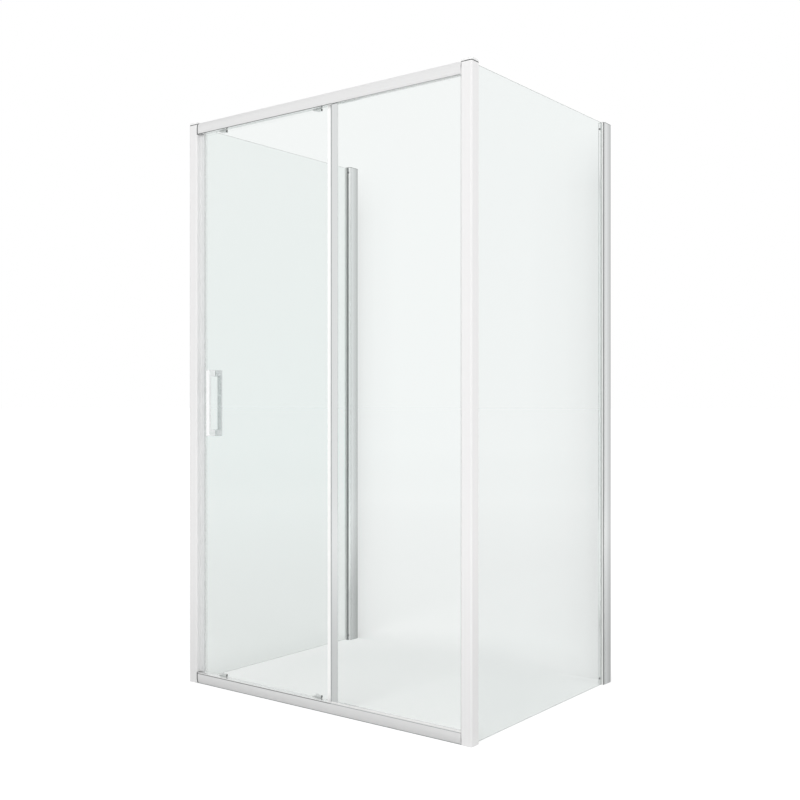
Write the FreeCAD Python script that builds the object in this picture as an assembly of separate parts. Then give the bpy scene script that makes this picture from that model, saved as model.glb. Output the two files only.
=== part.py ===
import FreeCAD, Part
import math
import os

from FreeCAD import Vector

# Overall size of the enclosure, all lengths in millimetres
overall_width = 1180.0
overall_depth = 885.0
overall_height = 1950.0

# Fits that many pieces share
overrun = 1.0
fastener_clearance = 0.05
running_clearance = 0.05
rolling_gap = 0.3
sliding_gap = 0.4
plug_clearance = 0.2

# Glass and the soft channel that beds its edges
glass_thickness = 6.0
gasket_wall = 2.4
gasket_base = 3.0
gasket_lip = 6.0
side_glass_floor_gap = 3.0
side_glass_top_gap = 9.0
setting_block_length = 12.0

# Corner posts and their caps
post_width = 38.0
post_wall = 1.8
post_corner_radius = 5.0
post_back_radius = 0.8
side_glass_inset = 13.0
post_slot_depth = 15.0
post_cap_height = 7.0
post_cap_gap = 1.0
post_cap_neck_inset = 1.2
post_cap_plug = 12.0

# Top and bottom rails
rail_height = 38.0
top_rail_drop = 5.0
rail_front_wall = 2.6
rail_wall = 1.8
rail_web = 1.4
rail_back_wall = 1.6
rail_curve_height = 18.0
rail_curve_setback = 5.0
rail_pocket_depth = 19.6
face_groove_rise = 4.0
face_groove_depth = 0.7
infill_wall = 1.4
infill_leg = 8.0
infill_recess = 0.4
infill_clearance = 0.1
track_lip_thickness = 2.0
track_lip_rise = 4.0
track_rib_radius = 1.5

# Grooved wheels and their axles
wheel_track_radius = 10.0
wheel_width = 5.6
wheel_front_gap = 0.6
wheel_back_gap = 1.2
axle_radius = 3.0
axle_tip = 0.5

# Hangers and guides that carry the wheels on the door
clamp_thickness = 1.8
clamp_gap = 0.9
clamp_radius = 8.0
guide_bolt_radius = 2.5
guide_bolt_spacing = 23.0
guide_bolt_tip_gap = 0.2
glass_hole_radius = 5.0
bracket_length = 36.0
bracket_thickness = 3.1
bracket_bevel = 2.0
hanger_drop = 8.0
hanger_head = 11.0
bracket_slope = 20.0
foot_reach = 2.9
guide_floor_gap = 2.2
guide_ledge = 1.5
guide_rise = 7.5
guide_bolt_rise = 7.0
release_travel = 4.0
carriage_width = 10.0
carriage_tongue = 1.5
carriage_tongue_thickness = 1.4
carriage_top_stop = 1.0
carriage_back_gap = 0.3
button_rise = 2.0
button_bevel = 0.8
spring_height = 6.0
spring_strip = 0.5
spring_span = 9.4
spring_crown = 4.0

# Sliding door
door_glass_width = 598.0
door_glass_end_gap = 9.0
door_open_gap = 9.6
left_wheel_from_edge = 87.0
right_wheel_from_edge = 79.0

# Magnetic closing side
strike_plate = 2.0
strike_edge_gap = 1.2
strike_leg = 1.6
strike_leg_depth = 10.0
strike_leg_clearance = 0.4
magnet_depth = 9.0
magnet_width = 9.8
magnet_round = 1.5
magnet_gap = 0.3
seal_nose = 7.2
seal_wall = 1.5
seal_leg = 11.0
seal_end_gap = 1.0

# Interlock between the door's trailing edge and the fixed panel
trailing_front_leg = 29.0
trailing_back_leg = 18.0
trailing_wall = 1.4
trailing_end_gap = 3.0
interlock_gap = 0.6
panel_overlap = 2.0
fixed_profile_width = 25.0
fixed_profile_wall = 1.6
fixed_profile_back_leg = 20.0
fixed_profile_round = 1.2
fixed_profile_hollow = 6.4
fixed_profile_end_gap = 1.0

# Handles on both faces of the door
handle_from_edge = 48.0
handle_width = 15.0
handle_length = 227.0
handle_foot = 860.0
handle_reach = 30.0
handle_bar_depth = 11.0
handle_leg_height = 22.0
handle_corner_bevel = 2.0
handle_inner_bevel = 3.0
handle_edge_bevel = 1.2
handle_pad_thickness = 1.0
handle_pad_inset = 0.5
handle_stud_radius = 3.0
handle_stud_bite = 8.0
handle_stud_end_gap = 1.0

# Wall channel, adjusting profile and its lock
wall_channel_inset = 4.0
wall_channel_width = 30.0
wall_channel_depth = 43.0
wall_channel_wall = 1.6
wall_channel_base = 2.0
wall_hole_radius = 3.0
wall_hole_end = 100.0
wall_hole_count = 3
adjust_side_gap = 0.3
adjust_nose = 6.0
adjust_depth = 36.0
adjust_wall = 1.8
adjust_nose_radius = 5.0
adjust_mouth_radius = 0.8
adjust_pocket_depth = 24.0
wall_cap_thickness = 3.0
wall_cap_plug = 10.0
lock_screw_end = 20.0
lock_screw_radius = 2.0
lock_screw_head_radius = 3.6
lock_screw_head = 2.2
lock_screw_length = 9.0

# Corner keys that join the rails to the posts
corner_key_in_rail = 40.0
corner_key_in_post = 12.0

# Rubber stops on the top track
bumper_length = 24.0
bumper_height = 14.0
bumper_bevel = 3.0
bumper_rib_clearance = 0.1

# Depths, measured back from the front plane of the posts
glass_slot = glass_thickness + 2 * gasket_wall
fixed_slot_back = rail_front_wall + glass_slot
fixed_glass_front = rail_front_wall + gasket_wall
fixed_glass_back = fixed_glass_front + glass_thickness
rail_web_back = fixed_slot_back + rail_web
clamp_front = rail_web_back + clamp_gap
door_front = clamp_front + clamp_thickness
door_back = door_front + glass_thickness
bracket_back = door_back + bracket_thickness
track_front = bracket_back + sliding_gap
wheel_front = track_front + wheel_front_gap
wheel_back = wheel_front + wheel_width
wheel_middle = (wheel_front + wheel_back) / 2
track_back = wheel_back + wheel_back_gap
frame_depth = track_back + rail_back_wall
channel_front = overall_depth - wall_channel_depth
channel_floor = overall_depth - wall_channel_base
nose_front = channel_front - adjust_nose
adjust_back = nose_front + adjust_depth
handle_overhang = handle_reach - door_front
front_y = (handle_overhang - overall_depth) / 2

# Places across the width, from the middle of the enclosure
half_width = overall_width / 2
post_flank = half_width - post_width
side_glass_middle = half_width - side_glass_inset
side_glass_outer = side_glass_middle + glass_thickness / 2
side_glass_inner = side_glass_middle - glass_thickness / 2
side_slot_outer = side_glass_middle + glass_slot / 2
side_slot_inner = side_glass_middle - glass_slot / 2
channel_outer = half_width - wall_channel_inset
channel_inner = channel_outer - wall_channel_width
channel_middle = (channel_outer + channel_inner) / 2
adjust_outer = channel_outer - wall_channel_wall - adjust_side_gap
adjust_inner = channel_inner + wall_channel_wall + adjust_side_gap
lock_middle = (adjust_inner + side_slot_inner) / 2
strike_face = strike_plate - post_flank
magnet_face = strike_face + magnet_depth
door_left = magnet_face + magnet_gap + seal_nose + seal_wall
door_right = door_left + door_glass_width
door_travel = post_flank - door_open_gap - door_right - trailing_wall
fixed_panel_left = door_right - panel_overlap
fixed_glass_left = fixed_panel_left + fixed_profile_wall + fixed_profile_hollow
fixed_glass_right = post_flank + post_slot_depth - gasket_base
wheel_places = {"left": door_left + left_wheel_from_edge, "right": door_right - right_wheel_from_edge}
handle_middle = door_left + handle_from_edge

# Heights
post_length = overall_height - post_cap_height
rail_top = overall_height - top_rail_drop
top_rail_edge = rail_top - rail_height
rail_middle = rail_top / 2
lip_top = top_rail_edge + track_lip_rise + track_lip_thickness
lip_bottom = rail_top - lip_top
top_axle = lip_top + wheel_track_radius
bottom_axle = lip_bottom - wheel_track_radius
side_glass_top = overall_height - side_glass_top_gap
wall_profile_top = rail_top - wall_cap_thickness
fixed_glass_bottom = rail_height - rail_pocket_depth + gasket_base
handle_bolts = [handle_foot + handle_leg_height / 2, handle_foot + handle_length - handle_leg_height / 2]
guide_bolt = bottom_axle + guide_bolt_rise

arc_through = "through"


# Drawing planes

def in_plan(u, v):
    """A point of a section seen from above."""
    return Vector(u, v, 0)


def in_side(u, v):
    """A point of a section seen from the side."""
    return Vector(0, u, v)


def in_front(u, v):
    """A point of an outline seen from the front."""
    return Vector(u, 0, v)


def rounded_corner(before, corner, after, radius):
    """Where a round joins the two sides of a corner, with the round's middle between them."""
    one_way = (before - corner).normalize()
    other_way = (after - corner).normalize()
    half_angle = one_way.getAngle(other_way) / 2
    reach = radius / math.tan(half_angle)
    inward = (one_way + other_way).normalize()
    centre = corner + inward * (radius / math.sin(half_angle))
    return corner + one_way * reach, centre - inward * radius, corner + other_way * reach


def outline(corners, place):
    """A flat face round corners that are sharp, rounded by a radius, or passed through by an arc."""
    points = [place(corner[0], corner[1]) for corner in corners]
    marks = [corner[2] if len(corner) > 2 else 0 for corner in corners]
    count = len(corners)
    joints = []
    for index in range(count):
        point = points[index]
        if marks[index] in (0, arc_through):
            joints.append((point, None, point))
        else:
            joints.append(rounded_corner(points[index - 1], point, points[(index + 1) % count], marks[index]))
    edges = []
    for index in range(count):
        enter, middle, leave = joints[index]
        following = (index + 1) % count
        if marks[index] == arc_through:
            edges.append(Part.Arc(joints[index - 1][2], enter, joints[following][0]).toShape())
            continue
        if middle is not None:
            edges.append(Part.Arc(enter, middle, leave).toShape())
        if marks[following] != arc_through and not leave.isEqual(joints[following][0], 0):
            edges.append(Part.LineSegment(leave, joints[following][0]).toShape())
    return Part.Face(Part.Wire(edges))


def rectangle(u_low, v_low, u_high, v_high, place, radius=0):
    """A rectangular face with all four corners alike."""
    corners = [(u_low, v_low), (u_high, v_low), (u_high, v_high), (u_low, v_high)]
    return outline([(u, v, radius) for u, v in corners], place)


def upright(face, low, high):
    """A section seen from above, drawn out from one height to another."""
    return face.translated(Vector(0, 0, low)).extrude(Vector(0, 0, high - low))


def across(face, left, right):
    """A section seen from the side, drawn out across the width."""
    return face.translated(Vector(left, 0, 0)).extrude(Vector(right - left, 0, 0))


def deep(face, front, back):
    """An outline seen from the front, drawn out from one depth to another."""
    return face.translated(Vector(0, front, 0)).extrude(Vector(0, back - front, 0))


def block(x_low, x_high, front, back, low, high):
    """A square-edged piece between two places each way."""
    return upright(rectangle(x_low, front, x_high, back, in_plan), low, high)


def rod(x, z, radius, front, back):
    """A round rod that lies front to back."""
    return Part.makeCylinder(radius, back - front, Vector(x, front, z), Vector(0, 1, 0))


def turned(x, z, corners):
    """A piece turned about a front-to-back axis, from corners of radius and depth."""
    face = outline(corners, in_plan).translated(Vector(x, 0, z))
    return face.revolve(Vector(x, 0, z), Vector(0, 1, 0), 360)


def mirrored(shape):
    """The same piece for the other side of the enclosure."""
    return shape.mirror(Vector(0, 0, 0), Vector(1, 0, 0))


def turned_over(shape):
    """The same piece of the top rail for the bottom rail."""
    return shape.mirror(Vector(0, 0, rail_middle), Vector(0, 0, 1))


def save(name, *solids):
    """Write one named piece, or one group of like pieces, in the frame of the whole enclosure."""
    shape = solids[0] if len(solids) == 1 else Part.makeCompound(list(solids))
    shape.translated(Vector(0, front_y, 0)).exportStep("parts/" + name + ".step")


# Corner posts

def post_outline(inset):
    """The outside of a post seen from above, drawn in by an inset."""
    round_front = post_corner_radius - inset
    outer = half_width - inset
    inner = post_flank + inset
    back = frame_depth - inset
    return outline([(outer, inset, round_front), (inner, inset, round_front),
                    (inner, back, post_back_radius), (outer, back, post_back_radius)], in_plan)


def front_chamber(inset):
    """The hollow behind the front face of a post."""
    left = post_flank + post_slot_depth + post_wall + inset
    back = frame_depth - post_slot_depth - post_wall - inset
    return rectangle(left, post_wall + inset, half_width - post_wall - inset, back, in_plan)


def corner_post():
    """An extruded post with one slot for the side pane and one for the front."""
    slot_floor = frame_depth - post_slot_depth
    side_slot = rectangle(side_slot_inner, slot_floor, side_slot_outer, frame_depth + overrun, in_plan)
    front_slot = rectangle(post_flank - overrun, rail_front_wall, post_flank + post_slot_depth,
                           fixed_slot_back, in_plan)
    chamber_left = post_flank + post_wall
    chamber_front = fixed_slot_back + post_wall
    chamber_back = frame_depth - post_wall
    chamber_step = post_flank + post_slot_depth
    chamber_right = side_slot_inner - post_wall
    rear_chamber = outline([(chamber_left, chamber_front), (chamber_step, chamber_front),
                            (chamber_step, slot_floor), (chamber_right, slot_floor),
                            (chamber_right, chamber_back), (chamber_left, chamber_back)], in_plan)
    edge_chamber = rectangle(side_slot_outer + post_wall, slot_floor, half_width - post_wall, chamber_back,
                             in_plan)
    section = post_outline(0).cut([side_slot, front_slot, front_chamber(0), rear_chamber, edge_chamber])
    return upright(section, 0, post_length)


def post_cap():
    """A moulded cap that stands on the post over a thin shadow line."""
    plate = upright(post_outline(0), post_length + post_cap_gap, overall_height)
    neck = upright(post_outline(post_cap_neck_inset), post_length, post_length + post_cap_gap)
    plug = upright(front_chamber(plug_clearance), post_length - post_cap_plug, post_length)
    return plate.fuse([neck, plug]).removeSplitter()


# Rails

def top_rail():
    """The top extrusion: curved face, pocket for the fixed pane, and the track behind the door."""
    curve_start = rail_top - rail_curve_height
    curve_radius = (rail_curve_setback ** 2 + rail_curve_height ** 2) / (2 * rail_curve_setback)
    half_turn = math.asin(rail_curve_height / curve_radius) / 2
    curve_depth = curve_radius * (1 - math.cos(half_turn))
    curve_height = curve_start + curve_radius * math.sin(half_turn)
    groove = top_rail_edge + face_groove_rise
    pocket_floor = top_rail_edge + rail_pocket_depth
    lip_low = top_rail_edge + track_lip_rise
    roof = rail_top - rail_wall
    section = outline([
        (0, top_rail_edge), (0, groove - face_groove_depth), (face_groove_depth, groove),
        (0, groove + face_groove_depth), (0, curve_start), (curve_depth, curve_height, arc_through),
        (rail_curve_setback, rail_top), (frame_depth, rail_top), (frame_depth, lip_low),
        (track_front, lip_low), (track_front, lip_top), (wheel_middle - track_rib_radius, lip_top),
        (wheel_middle, lip_top + track_rib_radius, arc_through), (wheel_middle + track_rib_radius, lip_top),
        (track_back, lip_top), (track_back, roof), (rail_web_back, roof), (rail_web_back, top_rail_edge),
        (fixed_slot_back, top_rail_edge), (fixed_slot_back, pocket_floor), (rail_front_wall, pocket_floor),
        (rail_front_wall, top_rail_edge)], in_side)
    hollow_floor = pocket_floor + rail_wall
    hollow = outline([(rail_front_wall, hollow_floor), (fixed_slot_back, hollow_floor),
                      (fixed_slot_back, roof), (rail_curve_setback + rail_wall, roof)], in_side)
    return across(section.cut(hollow), -post_flank, post_flank)


def pocket_infill():
    """A clip-in strip that closes the pocket of the top rail where there is no fixed pane."""
    front = rail_front_wall + infill_clearance
    back = fixed_slot_back - infill_clearance
    low = top_rail_edge + infill_recess
    floor = low + infill_wall
    top = low + infill_leg
    section = outline([
        (front, low), (back, low), (back, top), (back - infill_wall, top), (back - infill_wall, floor),
        (front + infill_wall, floor), (front + infill_wall, top), (front, top)], in_side)
    return across(section, -post_flank, fixed_glass_left - infill_clearance)


def corner_key():
    """A key that runs from the hollow of the top rail into the front slot of the post."""
    section = rectangle(rail_curve_setback + rail_wall + plug_clearance,
                        top_rail_edge + rail_pocket_depth + rail_wall + plug_clearance,
                        fixed_slot_back - plug_clearance, rail_top - rail_wall - plug_clearance, in_side)
    return across(section, post_flank - corner_key_in_rail, post_flank + corner_key_in_post)


def bumper(wheel_face, away):
    """A rubber stop astride the running rib, its face a rolling gap from the wheel that meets it."""
    face_x = wheel_face + away * rolling_gap
    far_x = face_x + away * bumper_length
    top = lip_top + bumper_height
    groove = track_rib_radius + bumper_rib_clearance
    section = outline([
        (wheel_front, lip_top), (wheel_middle - groove, lip_top), (wheel_middle - groove, lip_top + groove),
        (wheel_middle + groove, lip_top + groove), (wheel_middle + groove, lip_top), (wheel_back, lip_top),
        (wheel_back, top - bumper_bevel), (wheel_back - bumper_bevel, top), (wheel_front, top)], in_side)
    return across(section, face_x, far_x)


# Glass and its bedding

def door_glass():
    """The sliding pane, drilled for its handles, hangers and guides."""
    pane = block(door_left, door_right, door_front, door_back, door_glass_end_gap,
                 rail_top - door_glass_end_gap)
    places = [(handle_middle, height) for height in handle_bolts] + guide_bolt_places()
    places += [(x, top_axle) for x in wheel_places.values()]
    holes = [rod(x, z, glass_hole_radius, door_front - overrun, door_back + overrun) for x, z in places]
    return pane.cut(holes)


def fixed_glass():
    """The fixed front pane, from its edge profile into the right post."""
    return block(fixed_glass_left, fixed_glass_right, fixed_glass_front, fixed_glass_back,
                 fixed_glass_bottom, rail_top - fixed_glass_bottom)


def fixed_glass_gaskets():
    """Soft channels round the fixed pane in the top rail, the bottom rail and the right post."""
    pocket_floor = top_rail_edge + rail_pocket_depth
    section = rectangle(rail_front_wall, top_rail_edge, fixed_slot_back, pocket_floor, in_side)
    pane = rectangle(fixed_glass_front, top_rail_edge - overrun, fixed_glass_back, pocket_floor - gasket_base,
                     in_side)
    top = across(section.cut(pane), fixed_glass_left, post_flank)
    post_section = rectangle(post_flank, rail_front_wall, post_flank + post_slot_depth, fixed_slot_back,
                             in_plan)
    post_pane = rectangle(post_flank - overrun, fixed_glass_front, fixed_glass_right, fixed_glass_back,
                          in_plan)
    upright_one = upright(post_section.cut(post_pane), fixed_glass_bottom, rail_top - fixed_glass_bottom)
    return [top, turned_over(top), upright_one]


def side_glass():
    """A side pane, from the slot of its post into the pocket of its adjusting profile."""
    return block(side_glass_inner, side_glass_outer, frame_depth - post_slot_depth + gasket_base,
                 nose_front + adjust_pocket_depth - gasket_base, side_glass_floor_gap, side_glass_top)


def side_gaskets():
    """Soft channels along both upright edges of a side pane, with lips that lie on the glass."""
    front_floor = frame_depth - post_slot_depth
    back_floor = nose_front + adjust_pocket_depth
    front = rectangle(side_slot_inner, front_floor, side_slot_outer, frame_depth + gasket_lip, in_plan)
    front_pane = rectangle(side_glass_inner, front_floor + gasket_base, side_glass_outer,
                           frame_depth + gasket_lip + overrun, in_plan)
    back = rectangle(side_slot_inner, nose_front - gasket_lip, side_slot_outer, back_floor, in_plan)
    back_pane = rectangle(side_glass_inner, nose_front - gasket_lip - overrun, side_glass_outer,
                          back_floor - gasket_base, in_plan)
    return [upright(section, 0, side_glass_top) for section in (front.cut(front_pane), back.cut(back_pane))]


def setting_blocks():
    """Pads on the floor under the two ends of a side pane."""
    front = frame_depth - post_slot_depth + gasket_base
    back = nose_front + adjust_pocket_depth - gasket_base
    spans = [(front, front + setting_block_length), (back - setting_block_length, back)]
    return [block(side_glass_inner, side_glass_outer, near, far, 0, side_glass_floor_gap)
            for near, far in spans]


# Wall channel and adjusting profile

def wall_hole_heights():
    """Evenly spaced heights of the screw holes in a wall channel."""
    step = (wall_profile_top - 2 * wall_hole_end) / (wall_hole_count - 1)
    return [wall_hole_end + step * index for index in range(wall_hole_count)]


def wall_channel():
    """The channel that is screwed to the wall, open towards the glass."""
    inside_right = channel_outer - wall_channel_wall
    inside_left = channel_inner + wall_channel_wall
    section = outline([
        (channel_inner, overall_depth), (channel_outer, overall_depth), (channel_outer, channel_front),
        (inside_right, channel_front), (inside_right, channel_floor), (inside_left, channel_floor),
        (inside_left, channel_front), (channel_inner, channel_front)], in_plan)
    holes = [rod(channel_middle, height, wall_hole_radius, channel_floor - overrun, overall_depth + overrun)
             for height in wall_hole_heights()]
    return upright(section, 0, wall_profile_top).cut(holes)


def lock_chamber(inset):
    """The hollow behind the nose of the adjusting profile that the lock screws reach into."""
    return rectangle(adjust_inner + adjust_wall + inset, nose_front + adjust_wall + inset,
                     side_slot_inner - adjust_wall - inset, adjust_back - adjust_wall - inset, in_plan)


def lock_heights():
    """Heights of the two lock screws of an adjusting profile."""
    return [lock_screw_end, wall_profile_top - lock_screw_end]


def adjusting_profile():
    """The profile that holds the side pane and slides in the wall channel to true the enclosure up."""
    pocket_floor = nose_front + adjust_pocket_depth
    section = outline([
        (adjust_inner, nose_front, adjust_nose_radius), (side_slot_inner, nose_front, adjust_mouth_radius),
        (side_slot_inner, pocket_floor), (side_slot_outer, pocket_floor),
        (side_slot_outer, nose_front, adjust_mouth_radius), (adjust_outer, nose_front, adjust_mouth_radius),
        (adjust_outer, adjust_back), (adjust_inner, adjust_back)], in_plan)
    rear_hollow = rectangle(side_slot_inner, pocket_floor + adjust_wall, adjust_outer - adjust_wall,
                            adjust_back - adjust_wall, in_plan)
    body = upright(section.cut([lock_chamber(0), rear_hollow]), 0, wall_profile_top)
    holes = [rod(lock_middle, height, lock_screw_radius + fastener_clearance, nose_front - overrun,
                 nose_front + adjust_wall + overrun) for height in lock_heights()]
    return body.cut(holes)


def lock_screws():
    """The screws that lock an adjusting profile at the two ends of its nose."""
    front = nose_front - lock_screw_head
    tip = nose_front + lock_screw_length
    return [turned(lock_middle, height, [
        (0, front), (lock_screw_head_radius, front), (lock_screw_head_radius, nose_front),
        (lock_screw_radius, nose_front), (lock_screw_radius, tip), (0, tip)]) for height in lock_heights()]


def wall_cap():
    """A cap over the tops of the wall channel and the adjusting profile."""
    plate = upright(outline([
        (adjust_inner, nose_front, adjust_nose_radius), (adjust_outer, nose_front, adjust_mouth_radius),
        (adjust_outer, channel_front), (channel_outer, channel_front), (channel_outer, overall_depth),
        (channel_inner, overall_depth), (channel_inner, channel_front), (adjust_inner, channel_front)],
        in_plan), wall_profile_top, rail_top)
    plug = upright(lock_chamber(plug_clearance), wall_profile_top - wall_cap_plug, wall_profile_top)
    return plate.fuse(plug).removeSplitter()


# Fixed panel's edge and the closing side

def fixed_edge_profile():
    """The channel on the free edge of the fixed pane, with a hook that faces the door."""
    right = fixed_panel_left + fixed_profile_width
    back_right = fixed_panel_left + fixed_profile_back_leg
    web = fixed_panel_left + fixed_profile_wall
    front = fixed_glass_front - fixed_profile_wall
    back = fixed_glass_back + fixed_profile_wall
    hook = door_front - trailing_wall - sliding_gap
    section = outline([
        (fixed_panel_left, front, fixed_profile_round), (right, front, fixed_profile_round / 2),
        (right, fixed_glass_front), (web, fixed_glass_front), (web, fixed_glass_back),
        (back_right, fixed_glass_back), (back_right, back), (web, back), (web, hook),
        (fixed_panel_left, hook)], in_plan)
    return upright(section, rail_height + fixed_profile_end_gap, top_rail_edge - fixed_profile_end_gap)


def strike_profile():
    """The plate on the left post's flank that carries the magnet, clipped into the post's front slot."""
    legs = [(rail_front_wall + strike_leg_clearance, rail_front_wall + strike_leg_clearance + strike_leg),
            (fixed_slot_back - strike_leg_clearance - strike_leg, fixed_slot_back - strike_leg_clearance)]
    plate = rectangle(-post_flank, strike_edge_gap, strike_face, frame_depth - strike_edge_gap, in_plan)
    section = plate.fuse([rectangle(-post_flank - strike_leg_depth, near, -post_flank, far, in_plan)
                          for near, far in legs]).removeSplitter()
    return upright(section, rail_height + seal_end_gap, top_rail_edge - seal_end_gap)


def magnet_span():
    """The front and back of the magnets, centred on the door's glass."""
    middle = (door_front + door_back) / 2
    return middle - magnet_width / 2, middle + magnet_width / 2


def strike_magnet():
    """The magnetic strip on the strike profile that the door's seal meets."""
    front, back = magnet_span()
    section = outline([(strike_face, front), (magnet_face, front, magnet_round),
                       (magnet_face, back, magnet_round), (strike_face, back)], in_plan)
    return upright(section, rail_height + seal_end_gap, top_rail_edge - seal_end_gap)


def leading_seal():
    """The magnetic seal on the closing edge of the door."""
    front, back = magnet_span()
    nose = magnet_face + magnet_gap
    web = door_left - seal_wall
    leg = door_left + seal_leg
    section = outline([
        (nose, front, magnet_round), (nose, back, magnet_round), (web, back), (web, door_back + seal_wall),
        (leg, door_back + seal_wall), (leg, door_back), (door_left, door_back), (door_left, door_front),
        (leg, door_front), (leg, door_front - seal_wall), (web, door_front - seal_wall), (web, front)],
        in_plan)
    return upright(section, rail_height + seal_end_gap, top_rail_edge - seal_end_gap)


def trailing_seal():
    """The white clip on the trailing edge of the door, with a hook behind the fixed panel's hook."""
    low = door_glass_end_gap + trailing_end_gap
    front = door_front - trailing_wall
    back = door_back + trailing_wall
    web = door_right + trailing_wall
    front_leg = door_right - trailing_front_leg
    back_leg = door_right - trailing_back_leg
    clip = outline([
        (front_leg, front), (web, front), (web, back), (back_leg, back), (back_leg, door_back),
        (door_right, door_back), (door_right, door_front), (front_leg, door_front)], in_plan)
    hook_front = fixed_glass_back + fixed_profile_wall + interlock_gap
    hook_left = fixed_panel_left + fixed_profile_wall + interlock_gap
    hook = rectangle(hook_left, hook_front, web, front, in_plan)
    hook_solid = upright(hook, rail_height + seal_end_gap, top_rail_edge - seal_end_gap)
    return upright(clip, low, rail_top - low).fuse(hook_solid).removeSplitter()


# Handles

def handle():
    """The outer handle: one bar with a leg at each end, its corners and long edges bevelled."""
    front = door_front - handle_reach
    grip = front + handle_bar_depth
    seat = door_front - handle_pad_thickness
    top = handle_foot + handle_length
    low = handle_foot + handle_leg_height
    high = top - handle_leg_height
    bar = across(outline([
        (front + handle_corner_bevel, handle_foot), (seat, handle_foot), (seat, low),
        (grip + handle_inner_bevel, low), (grip, low + handle_inner_bevel),
        (grip, high - handle_inner_bevel), (grip + handle_inner_bevel, high), (seat, high), (seat, top),
        (front + handle_corner_bevel, top), (front, top - handle_corner_bevel),
        (front, handle_foot + handle_corner_bevel)], in_side), handle_middle - handle_width / 2,
        handle_middle + handle_width / 2)
    sides = [edge for edge in bar.Edges if edge.BoundBox.XLength < handle_edge_bevel
             and edge.BoundBox.YMin < seat - handle_edge_bevel]
    bar = bar.makeChamfer(handle_edge_bevel, sides)
    bores = [rod(handle_middle, height, handle_stud_radius + fastener_clearance,
                 seat - handle_stud_bite - handle_stud_end_gap, seat + overrun) for height in handle_bolts]
    return bar.cut(bores)


def to_inside(shape):
    """The same piece on the inner face of the door's glass."""
    return shape.mirror(Vector(0, (door_front + door_back) / 2, 0), Vector(0, 1, 0))


def handle_pads():
    """Soft pads between the legs of the outer handle and the glass."""
    half_width_of_pad = handle_width / 2 - handle_pad_inset
    half_height_of_pad = handle_leg_height / 2 - handle_pad_inset
    bore = handle_stud_radius + fastener_clearance
    pads = []
    for height in handle_bolts:
        face = rectangle(handle_middle - half_width_of_pad, height - half_height_of_pad,
                         handle_middle + half_width_of_pad, height + half_height_of_pad, in_front)
        hole = rectangle(handle_middle - bore, height - bore, handle_middle + bore, height + bore, in_front)
        pads.append(deep(face.cut(hole), door_front - handle_pad_thickness, door_front))
    return pads


def handle_studs():
    """Threaded studs that pull the two handles together through the glass."""
    reach = handle_pad_thickness + handle_stud_bite
    return [rod(handle_middle, height, handle_stud_radius, door_front - reach, door_back + reach)
            for height in handle_bolts]


# Hangers and guides

def guide_bolt_places(of=("left", "right")):
    """The bolts of the named guides, as a place across and a height."""
    offsets = (-guide_bolt_spacing / 2, guide_bolt_spacing / 2)
    return [(wheel_places[side] + offset, guide_bolt) for side in of for offset in offsets]


def bevelled(left, right, low, high, bevel):
    """A block seen from the front with its two upper corners bevelled."""
    return outline([(left, low), (right, low), (right, high - bevel), (right - bevel, high),
                    (left + bevel, high), (left, high - bevel)], in_front)


def hanger(x):
    """A top hanger: a plate that the axle clamps to the glass, with a foot that hooks under the track."""
    left = x - bracket_length / 2
    right = x + bracket_length / 2
    low = top_rail_edge - hanger_drop
    high = top_axle + hanger_head
    lower_edge = [(left, top_rail_edge), (left + bracket_slope, low), (right, low)]
    upper_edge = [(right, high - bracket_bevel), (right - bracket_bevel, high), (left + bracket_bevel, high),
                  (left, high - bracket_bevel)]
    plate = deep(outline(lower_edge + upper_edge, in_front), door_back, bracket_back)
    foot_top = top_rail_edge + track_lip_rise - sliding_gap
    foot_edge = [(right, foot_top), (left, foot_top)]
    foot = deep(outline(lower_edge + foot_edge, in_front), bracket_back, bracket_back + foot_reach)
    axle_hole = rod(x, top_axle, axle_radius + fastener_clearance, door_back - overrun,
                    bracket_back + overrun)
    return plate.fuse(foot).removeSplitter().cut(axle_hole)


def guide_groove(x, inset):
    """The left and right sides of a carriage's stem, drawn in by an inset."""
    return x - carriage_width / 2 + inset, x + carriage_width / 2 - inset


def guide(side):
    """A bottom guide: a forked plate clamped to the glass, in which the sprung carriage slides."""
    x = wheel_places[side]
    left = x - bracket_length / 2
    right = x + bracket_length / 2
    low = guide_bottom()
    high = rail_height + guide_rise
    upper_edge = [(right, high), (left + bracket_slope, high), (left, rail_height)]
    plate = deep(outline([(left, low), (right, low)] + upper_edge, in_front), door_back, bracket_back)
    cheek_low = rail_height - track_lip_rise + sliding_gap
    cheeks = deep(outline([(left, cheek_low), (right, cheek_low)] + upper_edge, in_front), bracket_back,
                  bracket_back + foot_reach)
    slot_left, slot_right = guide_groove(x, -rolling_gap)
    ledge = low + guide_ledge
    slot = block(slot_left, slot_right, door_back - overrun, bracket_back + foot_reach + overrun, ledge,
                 high + overrun)
    tongue_left, tongue_right = guide_groove(x, -carriage_tongue - rolling_gap)
    groove = block(tongue_left, tongue_right, door_back - overrun,
                   door_back + carriage_back_gap + carriage_tongue_thickness + rolling_gap,
                   ledge, carriage_tongue_top() + rolling_gap)
    hole_radius = guide_bolt_radius + fastener_clearance
    holes = [rod(bolt_x, bolt_z, hole_radius, door_back - overrun, bracket_back + overrun)
             for bolt_x, bolt_z in guide_bolt_places((side,))]
    return plate.fuse(cheeks).removeSplitter().cut([slot, groove] + holes)


def guide_bottom():
    """The lower end of a guide, just above the floor of the bottom rail."""
    return rail_wall + guide_floor_gap


def carriage_bottom():
    """The lower end of a carriage, resting on its spring."""
    return guide_bottom() + guide_ledge + spring_height


def carriage_tongue_top():
    """The shoulder that stops a carriage from rising."""
    return rail_height - track_lip_rise - carriage_top_stop


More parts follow.
